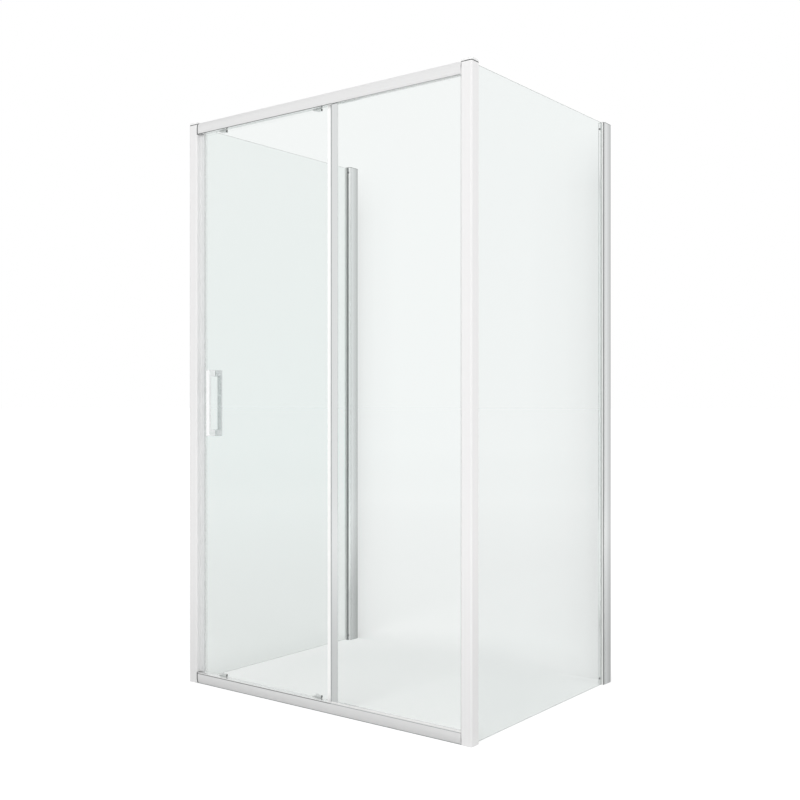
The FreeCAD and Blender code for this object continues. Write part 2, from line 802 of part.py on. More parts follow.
def carriage(x):
    """The sprung slider of a guide, with the axle's seat below and the release button on top."""
    left, right = guide_groove(x, 0)
    tongue_left, tongue_right = guide_groove(x, -carriage_tongue)
    front = door_back + carriage_back_gap
    low = carriage_bottom()
    high = rail_height + guide_rise + button_rise
    stem = deep(bevelled(left, right, low, high, button_bevel), front, bracket_back)
    tongues = block(tongue_left, tongue_right, front, front + carriage_tongue_thickness, low,
                    carriage_tongue_top())
    button_low = rail_height - track_lip_rise + sliding_gap + release_travel
    button = deep(bevelled(left, right, button_low, high, button_bevel), bracket_back,
                  bracket_back + foot_reach)
    axle_hole = rod(x, bottom_axle, axle_radius + fastener_clearance, front - overrun, bracket_back + overrun)
    return stem.fuse([tongues, button]).removeSplitter().cut(axle_hole)


def leaf_spring(x):
    """A bowed strip between the foot of a guide and its carriage."""
    low = guide_bottom() + guide_ledge
    top = low + spring_height
    half = spring_span / 2
    crown = spring_crown / 2
    section = outline([
        (x - half, low), (x - crown, top), (x + crown, top), (x + half, low), (x + half - spring_strip, low),
        (x + crown - spring_strip, top - spring_strip), (x - crown + spring_strip, top - spring_strip),
        (x - half + spring_strip, low)], in_front)
    return deep(section, door_back + carriage_back_gap, bracket_back - carriage_back_gap)


def headed_bolt(x, z, radius, tip):
    """A bolt with a broad flat head that bears on the front of the door's glass."""
    return turned(x, z, [(0, clamp_front), (clamp_radius, clamp_front), (clamp_radius, door_front),
                         (radius, door_front), (radius, tip), (0, tip)])


def top_axles():
    """The axles of the top wheels, which also clamp the hangers to the glass."""
    return [headed_bolt(x, top_axle, axle_radius, wheel_back + axle_tip) for x in wheel_places.values()]


def guide_bolts():
    """The bolts that clamp the guides to the glass."""
    tip = bracket_back - guide_bolt_tip_gap
    return [headed_bolt(x, z, guide_bolt_radius, tip) for x, z in guide_bolt_places()]


def carriage_axle(x):
    """The pin of a bottom wheel, fixed in its carriage."""
    return rod(x, bottom_axle, axle_radius, door_back + carriage_back_gap, wheel_back + axle_tip)


def wheel(x, z):
    """A moulded wheel with a groove that runs on the rib of the track."""
    rim = wheel_track_radius - rolling_gap
    bore = axle_radius + running_clearance
    groove = track_rib_radius + rolling_gap
    groove_floor = wheel_track_radius - groove
    groove_front = wheel_middle - groove
    groove_back = wheel_middle + groove
    return turned(x, z, [
        (bore, wheel_front), (rim, wheel_front), (rim, groove_front), (groove_floor, groove_front),
        (groove_floor, groove_back), (rim, groove_back), (rim, wheel_back), (bore, wheel_back)])


# The whole enclosure

def save_frame():
    """Posts, rails and what joins them."""
    save("right_post", corner_post())
    save("left_post", mirrored(corner_post()))
    save("right_post_cap", post_cap())
    save("left_post_cap", mirrored(post_cap()))
    save("top_rail", top_rail())
    save("bottom_rail", turned_over(top_rail()))
    save("top_pocket_infill", pocket_infill())
    save("bottom_pocket_infill", turned_over(pocket_infill()))
    keys = [corner_key(), mirrored(corner_key())]
    save("corner_keys", *keys, *[turned_over(key) for key in keys])
    first_wheel = wheel_places["left"] - wheel_track_radius + rolling_gap
    last_wheel = wheel_places["right"] + door_travel + wheel_track_radius - rolling_gap
    save("track_bumpers", bumper(first_wheel, -1), bumper(last_wheel, 1))
    save("strike_profile", strike_profile())
    save("strike_magnet", strike_magnet())


def save_sides():
    """Both side panes with their wall fixings."""
    for side, to_side in (("right", lambda shape: shape), ("left", mirrored)):
        save(side + "_side_glass", to_side(side_glass()))
        save(side + "_side_gaskets", *[to_side(piece) for piece in side_gaskets()])
        save(side + "_wall_channel", to_side(wall_channel()))
        save(side + "_adjusting_profile", to_side(adjusting_profile()))
        save(side + "_wall_cap", to_side(wall_cap()))
    save("lock_screws", *lock_screws(), *[mirrored(piece) for piece in lock_screws()])
    pads = setting_blocks()
    save("setting_blocks", *pads, *[mirrored(piece) for piece in pads])


def save_fixed_panel():
    """The fixed front pane, its bedding and its edge."""
    save("fixed_glass", fixed_glass())
    save("fixed_glass_gaskets", *fixed_glass_gaskets())
    save("fixed_edge_profile", fixed_edge_profile())


def save_door():
    """The sliding pane with its seals, handles, hangers and guides."""
    save("door_glass", door_glass())
    save("leading_seal", leading_seal())
    save("trailing_seal", trailing_seal())
    save("outer_handle", handle())
    save("inner_handle", to_inside(handle()))
    pads = handle_pads()
    save("handle_pads", *pads, *[to_inside(pad) for pad in pads])
    save("handle_studs", *handle_studs())
    save("top_axles", *top_axles())
    save("guide_bolts", *guide_bolts())
    for side, x in wheel_places.items():
        save("top_" + side + "_hanger", hanger(x))
        save("top_" + side + "_wheel", wheel(x, top_axle))
        save("bottom_" + side + "_guide", guide(side))
        save("bottom_" + side + "_carriage", carriage(x))
        save("bottom_" + side + "_spring", leaf_spring(x))
        save("bottom_" + side + "_axle", carriage_axle(x))
        save("bottom_" + side + "_wheel", wheel(x, bottom_axle))


os.makedirs("parts", exist_ok=True)
save_frame()
save_sides()
save_fixed_panel()
save_door()
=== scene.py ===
# %% [markdown]
# # A sliding-door shower enclosure
#
# The enclosure is a frame of aluminium extrusions that holds four panes of
# glass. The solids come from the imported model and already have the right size
# and place, so this lesson gives them their finishes, models the pieces whose
# soft edges catch the light, and sets up a white studio round them.

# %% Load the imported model
import math

import bpy
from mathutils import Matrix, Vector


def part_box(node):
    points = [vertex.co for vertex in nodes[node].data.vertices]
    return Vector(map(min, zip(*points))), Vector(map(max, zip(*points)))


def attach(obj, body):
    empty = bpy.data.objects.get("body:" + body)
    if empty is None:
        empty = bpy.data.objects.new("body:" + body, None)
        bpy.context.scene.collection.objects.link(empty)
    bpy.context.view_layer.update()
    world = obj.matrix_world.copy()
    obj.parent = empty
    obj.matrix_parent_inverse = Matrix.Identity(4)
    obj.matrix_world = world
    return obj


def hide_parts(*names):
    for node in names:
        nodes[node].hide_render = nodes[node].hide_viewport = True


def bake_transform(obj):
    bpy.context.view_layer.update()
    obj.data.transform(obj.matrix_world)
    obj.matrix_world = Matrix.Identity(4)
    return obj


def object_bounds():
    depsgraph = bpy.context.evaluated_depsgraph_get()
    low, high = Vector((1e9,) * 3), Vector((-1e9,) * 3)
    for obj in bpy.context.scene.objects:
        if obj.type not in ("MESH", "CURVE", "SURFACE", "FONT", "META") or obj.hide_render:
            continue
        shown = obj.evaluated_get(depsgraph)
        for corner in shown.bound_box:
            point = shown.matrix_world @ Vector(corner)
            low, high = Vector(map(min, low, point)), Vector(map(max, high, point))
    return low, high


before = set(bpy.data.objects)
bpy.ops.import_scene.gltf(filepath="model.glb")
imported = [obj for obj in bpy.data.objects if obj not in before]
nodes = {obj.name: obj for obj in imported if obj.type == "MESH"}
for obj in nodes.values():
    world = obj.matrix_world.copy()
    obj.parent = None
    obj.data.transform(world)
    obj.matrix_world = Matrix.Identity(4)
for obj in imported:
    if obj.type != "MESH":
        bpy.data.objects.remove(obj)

cad_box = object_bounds()
mm = 0.001
print("loaded", len(nodes), "nodes, box", [round(edge, 4) for edge in (*cad_box[0], *cad_box[1])])

# %% [markdown]
# ## Colours and nodes
#
# Colours are easiest to read as the hex values of a paint chart, but shaders
# work in linear light, so one function converts them. A second function adds a
# node, sets its inputs and links it, which keeps every material short. Inputs
# that share a name are given by their number, after an underscore.

# %% Helpers for materials
def linear(hex_colour):
    """A hex colour as linear red, green, blue and full alpha, by the sRGB curve."""
    channels = []
    for start in (0, 2, 4):
        level = int(hex_colour[start:start + 2], 16) / 255
        channels.append(level / 12.92 if level <= 0.04045 else ((level + 0.055) / 1.055) ** 2.4)
    return (*channels, 1.0)


def add(tree, kind, settings=None, **inputs):
    """Add a node, give it settings, and fill its inputs with values or links."""
    node = tree.nodes.new(kind)
    for name, value in (settings or {}).items():
        setattr(node, name, value)
    for name, value in inputs.items():
        socket = node.inputs[int(name[1:])] if name[1:].isdigit() else node.inputs[name.replace("_", " ")]
        if isinstance(value, bpy.types.NodeSocket):
            tree.links.new(value, socket)
        else:
            socket.default_value = value
    return node


def new_material(name):
    """An empty node material with its output."""
    material = bpy.data.materials.new(name)
    material.use_nodes = True
    material.node_tree.nodes.clear()
    output = material.node_tree.nodes.new("ShaderNodeOutputMaterial")
    return material, material.node_tree, output


print("white is", [round(level, 3) for level in linear("ffffff")])

# %% [markdown]
# ## Anodised aluminium
#
# Posts and rails are pressed through a die and then anodised. The die leaves
# faint lines along the length, and the anodic skin is a thin clear oxide that
# turns a mirror into a soft silver. The lines could be cut into the mesh, but a
# noise that is stretched along the profile draws them without extra faces, both
# in roughness and in a very shallow bump. Real die lines are about 0.2 mm apart,
# too fine for this view, so they are drawn 3 mm wide.

# %% Aluminium with die lines
die_line_mm = 3.0
die_line_stretch = 0.004
die_line_strength = 0.25
sheen_spread = 0.05
bright_skin_and_painted_highlight = "fafafa"
bright_roughness = 0.25
lip_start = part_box("top_rail")[0].y + 0.3 * mm
lip_blur = 0.2 * mm
turn_start, turn_end = 0.6, 0.8


def per_metre(size_mm):
    """The texture scale at which one feature of a noise is that many millimetres wide."""
    return 1 / (size_mm * mm)


def drawn_aluminium(name, colour, shade, along, metallic, roughness, line_depth_mm=0.02,
                    fade=None, painted_highlight_facing=None):
    """Extruded aluminium whose die lines run along one axis.

    A fade darkens its colour between two places on an axis, as painted shade. A facing of 1
    or -1 paints a highlight on the faces that look up or down, from just behind the front of the
    rail: a brighter colour, with more mirror and gloss.
    """
    material, tree, output = new_material(name)
    place = add(tree, "ShaderNodeTexCoord")
    parts = add(tree, "ShaderNodeSeparateXYZ", Vector=place.outputs["Object"])
    stretch = [1.0, 1.0, 1.0]
    stretch["XYZ".index(along)] = die_line_stretch
    turn = add(tree, "ShaderNodeMapping", Vector=place.outputs["Object"], Scale=stretch)
    lines = add(tree, "ShaderNodeTexNoise", Vector=turn.outputs["Vector"],
                Scale=per_metre(die_line_mm), Detail=3.0, Roughness=0.6)
    tone = add(tree, "ShaderNodeMix", {"data_type": "RGBA"}, _0=lines.outputs["Fac"],
               _6=linear(shade), _7=linear(colour))
    skin = tone.outputs[2]
    sheen = add(tree, "ShaderNodeMapRange", Value=lines.outputs["Fac"],
                To_Min=roughness - sheen_spread, To_Max=roughness + sheen_spread)
    bump = add(tree, "ShaderNodeBump", Height=lines.outputs["Fac"], Strength=die_line_strength,
               Distance=line_depth_mm * mm)
    # Painted shade: the colour darkens between two places on an axis.
    if fade:
        axis, start, end, darkest = fade
        level = add(tree, "ShaderNodeMapRange", Value=parts.outputs[axis], From_Min=start,
                    From_Max=end, To_Min=1.0, To_Max=darkest)
        skin = add(tree, "ShaderNodeVectorMath", {"operation": "SCALE"}, _0=skin,
                   Scale=level.outputs["Result"]).outputs["Vector"]
    # Painted highlight: faces that look up or down, behind the front of the rail, get a brighter colour.
    if painted_highlight_facing:
        face = add(tree, "ShaderNodeNewGeometry")
        facing = add(tree, "ShaderNodeSeparateXYZ", Vector=face.outputs["Normal"])
        turned = add(tree, "ShaderNodeMapRange", Value=facing.outputs["Z"],
                     From_Min=turn_start * painted_highlight_facing, From_Max=turn_end * painted_highlight_facing)
        behind = add(tree, "ShaderNodeMapRange", Value=parts.outputs["Y"], From_Min=lip_start,
                     From_Max=lip_start + lip_blur, To_Max=turned.outputs["Result"])
        inside = behind.outputs["Result"]
        skin = add(tree, "ShaderNodeMix", {"data_type": "RGBA"}, _0=inside, _6=skin,
                   _7=linear(bright_skin_and_painted_highlight)).outputs[2]
        metallic = add(tree, "ShaderNodeMapRange", Value=inside, To_Min=metallic).outputs["Result"]
        sheen = add(tree, "ShaderNodeMapRange", Value=inside, To_Min=sheen.outputs["Result"],
                    To_Max=bright_roughness)
    surface = add(tree, "ShaderNodeBsdfPrincipled", Base_Color=skin, Metallic=metallic,
                  Roughness=sheen.outputs["Result"], Normal=bump.outputs["Normal"])
    tree.links.new(surface.outputs["BSDF"], output.inputs["Surface"])
    return material


print("die lines", die_line_mm, "mm wide, stretched", round(1 / die_line_stretch), "times")

# %% [markdown]
# ## Eight finishes of aluminium
#
# One metal looks different from place to place. The wall channels are polished, and their
# colour darkens towards the wall as painted shade. The curved face of the bottom rail has
# painted shade towards the floor. The infill strips are a bright mirror. The rail faces
# that look into the opening are made a brighter mirror, with a painted highlight in their
# colour. The strike profile and the rails are lighter or darker copies of the post's skin,
# as painted light. Each could be painted by hand, but one function with a few settings
# keeps them alike.

# %% Aluminium finishes
fade_depth = 36 * mm
painted_wall_darkest, painted_floor_darkest = 0.66, 0.8
wall_plane = cad_box[1][1]
wall_painted_shade = ("Y", wall_plane - fade_depth, wall_plane, painted_wall_darkest)
floor_painted_shade = ("Z", fade_depth, 0.0, painted_floor_darkest)
looks_up, looks_down = 1, -1
# The oxide spreads the light, so a post is an even pale silver with soft upright streaks.
upright_aluminium = drawn_aluminium("anodised aluminium drawn upright", "eeeeee", "e9e8e8", "Z",
                                    metallic=0.5, roughness=0.38)
# The same skin lies level on the top rail, darker as painted shade; its underside mirrors the white floor
# and has a painted highlight.
level_aluminium_painted_highlight = drawn_aluminium("anodised aluminium drawn level with painted highlight", "e6e6e6", "dfdfdf", "X",
                                  metallic=0.5, roughness=0.38, painted_highlight_facing=looks_down)
# A thin oxide over a smooth strip leaves it a blurred mirror, nearly white in a white room.
infill_aluminium = drawn_aluminium("bright anodised aluminium", bright_skin_and_painted_highlight, "f4f4f4", "X",
                                   metallic=1.0, roughness=bright_roughness, line_depth_mm=0.01)
# The strike profile is a paler copy of the post's skin that mirrors less, lightened as painted light
# where it stands in shade.
strike_aluminium_painted_light = drawn_aluminium("anodised aluminium lightened as painted light", "f2f2f2", "ededed", "Z",
                                   metallic=0.25, roughness=0.38)
# Polish gives crisp streaks, and edges that turn away go dark.
polished_aluminium = drawn_aluminium("polished aluminium", "e2e4e4", "d6d8d8", "Z",
                                     metallic=1.0, roughness=0.14)
# The bottom rail mirrors the sky on top, with a painted highlight there, and has painted shade towards
# the floor.
sill_aluminium_painted_light = drawn_aluminium("anodised aluminium with painted floor shade and highlight", "eaeaea", "e3e3e3", "X",
                                 metallic=0.5, roughness=0.38, fade=floor_painted_shade, painted_highlight_facing=looks_up)
# The wall channel has the same polish, and its colour turns grey towards the wall as painted shade.
wall_aluminium_painted_shade = drawn_aluminium("polished aluminium with painted wall shade", "e4e6e6", "d8dada", "Z",
                                 metallic=1.0, roughness=0.14, fade=wall_painted_shade)
# A bright dip levels the metal to a near mirror, which shows the white room as it is.
bright_aluminium = drawn_aluminium("bright-dipped aluminium", "fafafa", "f3f4f4", "Z",
                                   metallic=1.0, roughness=0.14)
print("the last of the eight is", bright_aluminium.name)

# %% [markdown]
# ## Which profile has which finish
#
# Each solid of the model has one place for a material. It could be set line by
# line, but the other materials below go on in the same way, so a short function
# takes a list of nodes for each finish.

# %% Aluminium on the profiles
def dress(finishes):
    """Give each material to its nodes, and count them."""
    for material, names in finishes.items():
        for node in names:
            nodes[node].data.materials[0] = material
    return sum(len(names) for names in finishes.values())


aluminium_finishes = {
    upright_aluminium: ["left_post", "right_post"],
    strike_aluminium_painted_light: ["strike_profile"],
    level_aluminium_painted_highlight: ["top_rail", "corner_keys"],
    sill_aluminium_painted_light: ["bottom_rail"],
    infill_aluminium: ["top_pocket_infill", "bottom_pocket_infill"],
    polished_aluminium: ["fixed_edge_profile"],
    wall_aluminium_painted_shade: ["left_wall_channel", "right_wall_channel"],
    bright_aluminium: ["left_adjusting_profile", "right_adjusting_profile"],
}
print("aluminium on", dress(aluminium_finishes), "nodes")

# %% [markdown]
# ## Clear float glass
#
# The panes are 6 mm toughened float glass. Iron in the sand gives it a faint
# green. Light that has to reach what lies behind the glass would be scattered by
# a refracting shader, so for light from the lamps and from dull surfaces the
# pane is a plain tinted window, and only sight and mirror rays are bent by it.
# Light crosses two faces, so each face of the window takes half of the tint. The right side
# pane is given a deeper tint as painted shade.

# %% Glass
glass_ior = 1.52
pane_top = 1.95
middle_share = 0.42
face_share = 0.5


def float_glass(name, top, middle, foot):
    """Clear glass with a faint tint that changes a little from the floor up, darkest at the middle:
    painted shade.
    """
    material, tree, output = new_material(name)
    place = add(tree, "ShaderNodeTexCoord")
    parts = add(tree, "ShaderNodeSeparateXYZ", Vector=place.outputs["Object"])
    height = add(tree, "ShaderNodeMath", {"operation": "DIVIDE"}, _0=parts.outputs["Z"], _1=pane_top)
    tint = add(tree, "ShaderNodeValToRGB", Fac=height.outputs["Value"])
    tint.color_ramp.elements[0].color = linear(foot)
    tint.color_ramp.elements[1].color = linear(top)
    tint.color_ramp.elements.new(middle_share).color = linear(middle)
    body = add(tree, "ShaderNodeBsdfPrincipled", Base_Color=tint.outputs["Color"], Roughness=0.0,
               IOR=glass_ior, Transmission_Weight=1.0)
    face_tint = add(tree, "ShaderNodeGamma", Color=tint.outputs["Color"], Gamma=face_share)
    window = add(tree, "ShaderNodeBsdfTransparent", Color=face_tint.outputs["Color"])
    path = add(tree, "ShaderNodeLightPath")
    lamp_light = add(tree, "ShaderNodeMixShader", _0=path.outputs["Is Shadow Ray"],
                     _1=body.outputs["BSDF"], _2=window.outputs["BSDF"])
    dull_light = add(tree, "ShaderNodeMixShader", _0=path.outputs["Is Diffuse Ray"],
                     _1=lamp_light.outputs["Shader"], _2=window.outputs["BSDF"])
    tree.links.new(dull_light.outputs["Shader"], output.inputs["Surface"])
    return material


# Nearly clear: it lends what lies behind it a faint green, and mirrors the room at a low angle.
clear_glass = float_glass("clear float glass", "f4f7f6", "f2f6f5", "f4f6f5")
# The right side pane's deeper tint is painted shade, which sets it off from the front.
side_glass_painted_shade = float_glass("clear float glass with a deeper painted shade", "f0f4f3", "eff3f2", "f0f3f2")
glass_finishes = {
    clear_glass: ["door_glass", "fixed_glass", "left_side_glass"],
    side_glass_painted_shade: ["right_side_glass"],
}
print("glass in", dress(glass_finishes), "panes")

# %% [markdown]
# ## Plastics and rubbers
#
# Seals are extruded vinyl, soft and slightly cloudy. Brackets are moulded from
# glass-filled nylon, whose fibres leave a fine grain, caps from ABS, and wheels
# from acetal, which runs smoothly. Gaskets and buffers are rubber, which has
# hardly any gloss. They differ only in colour, gloss and grain, so all come from
# one function: a plain plastic with a cloudy tone and a grain of its own size.
# The grain of a mould is finer than 0.1 mm and would not show, so it is drawn 0.5
# to 0.8 mm wide.

# %% A moulded plastic
cloud_grains = 20
grain_strength = 0.3
grain_sheen = 0.06


def moulded(name, colour, shade, roughness, grain_mm, grain_depth_mm, ior):
    """A plastic or rubber with a slightly cloudy tone and a fine grain."""
    material, tree, output = new_material(name)
    place = add(tree, "ShaderNodeTexCoord")
    cloud = add(tree, "ShaderNodeTexNoise", Vector=place.outputs["Object"],
                Scale=per_metre(cloud_grains * grain_mm), Detail=2.0)
    grain = add(tree, "ShaderNodeTexNoise", Vector=place.outputs["Object"],
                Scale=per_metre(grain_mm), Detail=2.0)
    tone = add(tree, "ShaderNodeMix", {"data_type": "RGBA"}, _0=cloud.outputs["Fac"],
               _6=linear(shade), _7=linear(colour))
    sheen = add(tree, "ShaderNodeMapRange", Value=grain.outputs["Fac"],
                To_Min=roughness - grain_sheen, To_Max=roughness + grain_sheen)
    bump = add(tree, "ShaderNodeBump", Height=grain.outputs["Fac"], Strength=grain_strength,
               Distance=grain_depth_mm * mm)
    surface = add(tree, "ShaderNodeBsdfPrincipled", Base_Color=tone.outputs[2],
                  Roughness=sheen.outputs["Result"], IOR=ior, Normal=bump.outputs["Normal"])
    tree.links.new(surface.outputs["BSDF"], output.inputs["Surface"])
    return material


print("clouds are", cloud_grains, "grains wide")

# %% [markdown]
# ## Six plastics and three rubbers
#
# Each starts from the usual gloss and refraction of its kind and is then matched
# to the object. The rubbers could share one grey, but they paint shade lines of different
# strength, so each has its own. Two of them wait for the pieces modelled below.

# %% Plastics and rubbers
# Smooth from the die, so a white strip with a soft sheen along it.
white_vinyl = moulded("white extruded vinyl", "fbfbfa", "f5f5f4", roughness=0.42,
                      grain_mm=0.8, grain_depth_mm=0.01, ior=1.53)
# Iron powder in the vinyl greys it.
magnet_vinyl = moulded("magnetic strip vinyl", "e0e1e1", "d8d9d9", roughness=0.4,
                       grain_mm=0.8, grain_depth_mm=0.01, ior=1.53)
# A thin clear pad takes the tone of the metal and glass it lies between.
soft_vinyl = moulded("soft clear vinyl", "eceeee", "e4e6e6", roughness=0.35,
                     grain_mm=0.6, grain_depth_mm=0.01, ior=1.53)
# The fibres break the gloss up, so a bracket is a flat white.
bracket_nylon = moulded("glass-filled nylon", "fbfbfb", "f4f5f5", roughness=0.48,
                        grain_mm=0.5, grain_depth_mm=0.02, ior=1.53)
# Silver pigment brings a cap near the tone of the metal below it, without its streaks.
cap_abs = moulded("silver moulded ABS", "f2f2f2", "eaeaea", roughness=0.35,
                  grain_mm=0.6, grain_depth_mm=0.01, ior=1.5)
# Dense and smooth, with a small bright gleam and a hint of cream.
wheel_acetal = moulded("white acetal", "f0f0ec", "e6e6e2", roughness=0.3,
                       grain_mm=0.6, grain_depth_mm=0.01, ior=1.48)
# Soot in the rubber takes most of the light, so it draws the darkest of the painted shade lines.
dark_rubber = moulded("dark EPDM rubber", "4a4d4d", "3c3f3f", roughness=0.62,
                      grain_mm=0.5, grain_depth_mm=0.02, ior=1.52)
# Less soot and some chalk leave a mid grey.
wedge_rubber = moulded("slate EPDM rubber", "808383", "747777", roughness=0.6,
                       grain_mm=0.5, grain_depth_mm=0.02, ior=1.52)
# Silicone lets a little light in, so its grey is the palest of the three.
grey_rubber = moulded("grey silicone rubber", "9c9f9f", "909393", roughness=0.55,
                      grain_mm=0.5, grain_depth_mm=0.02, ior=1.43)
plastic_finishes = {
    white_vinyl: ["left_side_gaskets", "right_side_gaskets", "fixed_glass_gaskets", "trailing_seal",
                  "setting_blocks"],
    magnet_vinyl: ["leading_seal", "strike_magnet"],
    soft_vinyl: ["handle_pads"],
    bracket_nylon: ["top_left_hanger", "top_right_hanger", "bottom_left_guide", "bottom_right_guide",
                    "bottom_left_carriage", "bottom_right_carriage"],
    cap_abs: ["left_post_cap", "right_post_cap", "left_wall_cap", "right_wall_cap"],
    wheel_acetal: ["top_left_wheel", "top_right_wheel", "bottom_left_wheel", "bottom_right_wheel"],
    dark_rubber: ["track_bumpers"],
}
print("plastic and rubber on", dress(plastic_finishes), "nodes")

# %% [markdown]
# ## Chromed zinc and steel
#
# The handles are zinc castings under chrome. Studs, axles, bolts and springs are
# stainless steel, and the locking screws are blackened. A flat metal colour would
# look like paint, so a noise varies both the tone and the gloss by a little. The
# waves of a casting are about 4 mm wide. The grain of steel is far finer, and is
# drawn 0.6 mm wide so that it shows close up.

# %% Zinc and steel
least_gloss, most_gloss = 1.3, 0.7


def metal(name, colour, shade, roughness, grain_mm, metallic=1.0):
    """A hard metal with a fine grain in its tone and gloss, less of a mirror below metallic 1."""
    material, tree, output = new_material(name)
    place = add(tree, "ShaderNodeTexCoord")
    grain = add(tree, "ShaderNodeTexNoise", Vector=place.outputs["Object"],
                Scale=per_metre(grain_mm), Detail=3.0)
    tone = add(tree, "ShaderNodeMix", {"data_type": "RGBA"}, _0=grain.outputs["Fac"],
               _6=linear(shade), _7=linear(colour))
    sheen = add(tree, "ShaderNodeMapRange", Value=grain.outputs["Fac"],
                To_Min=most_gloss * roughness, To_Max=least_gloss * roughness)
    surface = add(tree, "ShaderNodeBsdfPrincipled", Base_Color=tone.outputs[2], Metallic=metallic,
                  Roughness=sheen.outputs["Result"])
    tree.links.new(surface.outputs["BSDF"], output.inputs["Surface"])
    return material


# Chrome in a white room is white, and the low metallic keeps it so from every side.
chromed_zinc = metal("chromed zinc", "fafbfb", "f4f5f5", roughness=0.22, grain_mm=4.0, metallic=0.35)
# Satin chrome blurs the room to one even grey.
satin_zinc = metal("satin chromed zinc", "e0e2e3", "d8dadb", roughness=0.26, grain_mm=4.0)
# Bare steel is darker than chrome, with a fine broken gleam.
stainless = metal("stainless steel", "c4c4c4", "adadad", roughness=0.28, grain_mm=0.6)
# The black oxide leaves a dark dot with a dull rim of light.
dark_steel = metal("blackened steel", "6f7172", "5c5e5f", roughness=0.36, grain_mm=0.6)
metal_finishes = {
    chromed_zinc: ["outer_handle"],
    satin_zinc: ["inner_handle"],
    stainless: ["handle_studs", "top_axles", "guide_bolts", "bottom_left_axle", "bottom_right_axle",
                "bottom_left_spring", "bottom_right_spring"],
    dark_steel: ["lock_screws"],
}
print("zinc and steel on", dress(metal_finishes), "nodes")

# %% [markdown]
# ## Tools for modelling
#
# Each new piece starts as a rough block or as a copy of a solid. Faces and edges
# are chosen by where they are, then bevelled, inset or extruded, as one would
# do by hand. A last function gives the piece its finish and fastens it to the
# body that carries it.

# %% Helpers for modelling
smooth_angle = math.radians(35)


def pick(piece):
    """Make a piece the only one selected."""
    bpy.ops.object.select_all(action="DESELECT")
    piece.select_set(True)
    bpy.context.view_layer.objects.active = piece


def block(name, low, high):
    """A rough box between two corners."""
    bpy.ops.object.select_all(action="DESELECT")
    bpy.ops.mesh.primitive_cube_add(size=1, location=[(start + end) / 2 for start, end in zip(low, high)])
    piece = bpy.context.object
    piece.name = name
    piece.scale = [end - start for start, end in zip(low, high)]
    bpy.ops.object.transform_apply(location=True, rotation=True, scale=True)
    return piece


def choose(piece, kind, wanted):
    """Open a piece for editing with the faces or edges whose corners pass a test."""
    pick(piece)
    bpy.ops.object.mode_set(mode="EDIT")
    bpy.ops.mesh.select_mode(type=kind)
    bpy.ops.mesh.select_all(action="DESELECT")
    bpy.ops.object.mode_set(mode="OBJECT")
    for part in piece.data.polygons if kind == "FACE" else piece.data.edges:
        part.select = wanted([piece.data.vertices[corner].co for corner in part.vertices])
    bpy.ops.object.mode_set(mode="EDIT")


def hand_over(piece, material, body, replaced=(), bend=None):
    """Turn a piece's faces outward, shade it smooth, give it a finish and a body, and hide the nodes it
    replaces.

    A bend is read only as a flag: its body and places are not used, and a piece with one is given no body
    and keeps its place baked into its mesh.
    """
    if bpy.context.mode != "OBJECT":
        bpy.ops.object.mode_set(mode="OBJECT")
    choose(piece, "FACE", lambda points: True)
    bpy.ops.mesh.normals_make_consistent(inside=False)
    bpy.ops.object.mode_set(mode="OBJECT")
    bpy.ops.object.shade_smooth_by_angle(angle=smooth_angle)
    piece.data.materials.clear()
    piece.data.materials.append(material)
    if bend:
        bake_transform(piece)
    else:
        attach(piece, body)
    if replaced:
        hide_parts(*replaced)
    print(piece.name, "has", len(piece.data.polygons), "faces")


print("faces that meet at less than", round(math.degrees(smooth_angle)), "degrees are shaded smooth")

# %% [markdown]
# ## Panes with ground edges
#
# A pane is cut, drilled, its edges are ground to a small arris so that they
# cannot cut a hand, and only then toughened. The arris is a narrow bevel, which
# catches the light along an edge, where a plain slab would have none. The seals
# press on the glass, so each pane is a hair thinner than its slot here, which
# keeps the two surfaces apart.

# %% The three panes of the frame
pane_clearance = 0.06 * mm
arris = 0.3 * mm


def pane(node):
    """A pane with an arris along every edge."""
    low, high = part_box(node)
    piece = block(node + "_pane", [edge + pane_clearance for edge in low],
                  [edge - pane_clearance for edge in high])
    choose(piece, "EDGE", lambda points: True)
    bpy.ops.mesh.bevel(offset=arris, segments=1, affect="EDGES")
    bpy.ops.object.mode_set(mode="OBJECT")
    return piece


for node in ("fixed_glass", "left_side_glass", "right_side_glass"):
    hand_over(pane(node), nodes[node].data.materials[0], "frame", (node,))

# %% [markdown]
# ## The door's pane
#
# The door's pane has holes for the studs of the handles, the axles of the top
# wheels and the bolts of the guides. A round bar is put through the pane at each
# place and cut away from it, which is as close to drilling as a mesh can come.

# %% The door's pane and its holes
quarter_turn = math.radians(90)
hole_sides = 24
stud_hole, axle_hole, bolt_hole = 3.4 * mm, 4.4 * mm, 3.0 * mm
stud_inset = 3 * mm
bolt_offset = 11.5 * mm


def cut_away(piece, cutter):
    """Cut the shape of one piece out of another and clear the cutter away."""
    cut = piece.modifiers.new("cut", "BOOLEAN")
    cut.object = cutter
    pick(piece)
    bpy.ops.object.modifier_apply(modifier=cut.name)
    bpy.data.objects.remove(cutter, do_unlink=True)


def drill(piece, x, z, radius):
    """Cut a round hole from front to back."""
    low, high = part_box("door_glass")
    bpy.ops.object.select_all(action="DESELECT")
    bpy.ops.mesh.primitive_cylinder_add(vertices=hole_sides, radius=radius, depth=2 * (high.y - low.y),
                                        location=(x, (low.y + high.y) / 2, z),
                                        rotation=(quarter_turn, 0, 0))
    cut_away(piece, bpy.context.object)


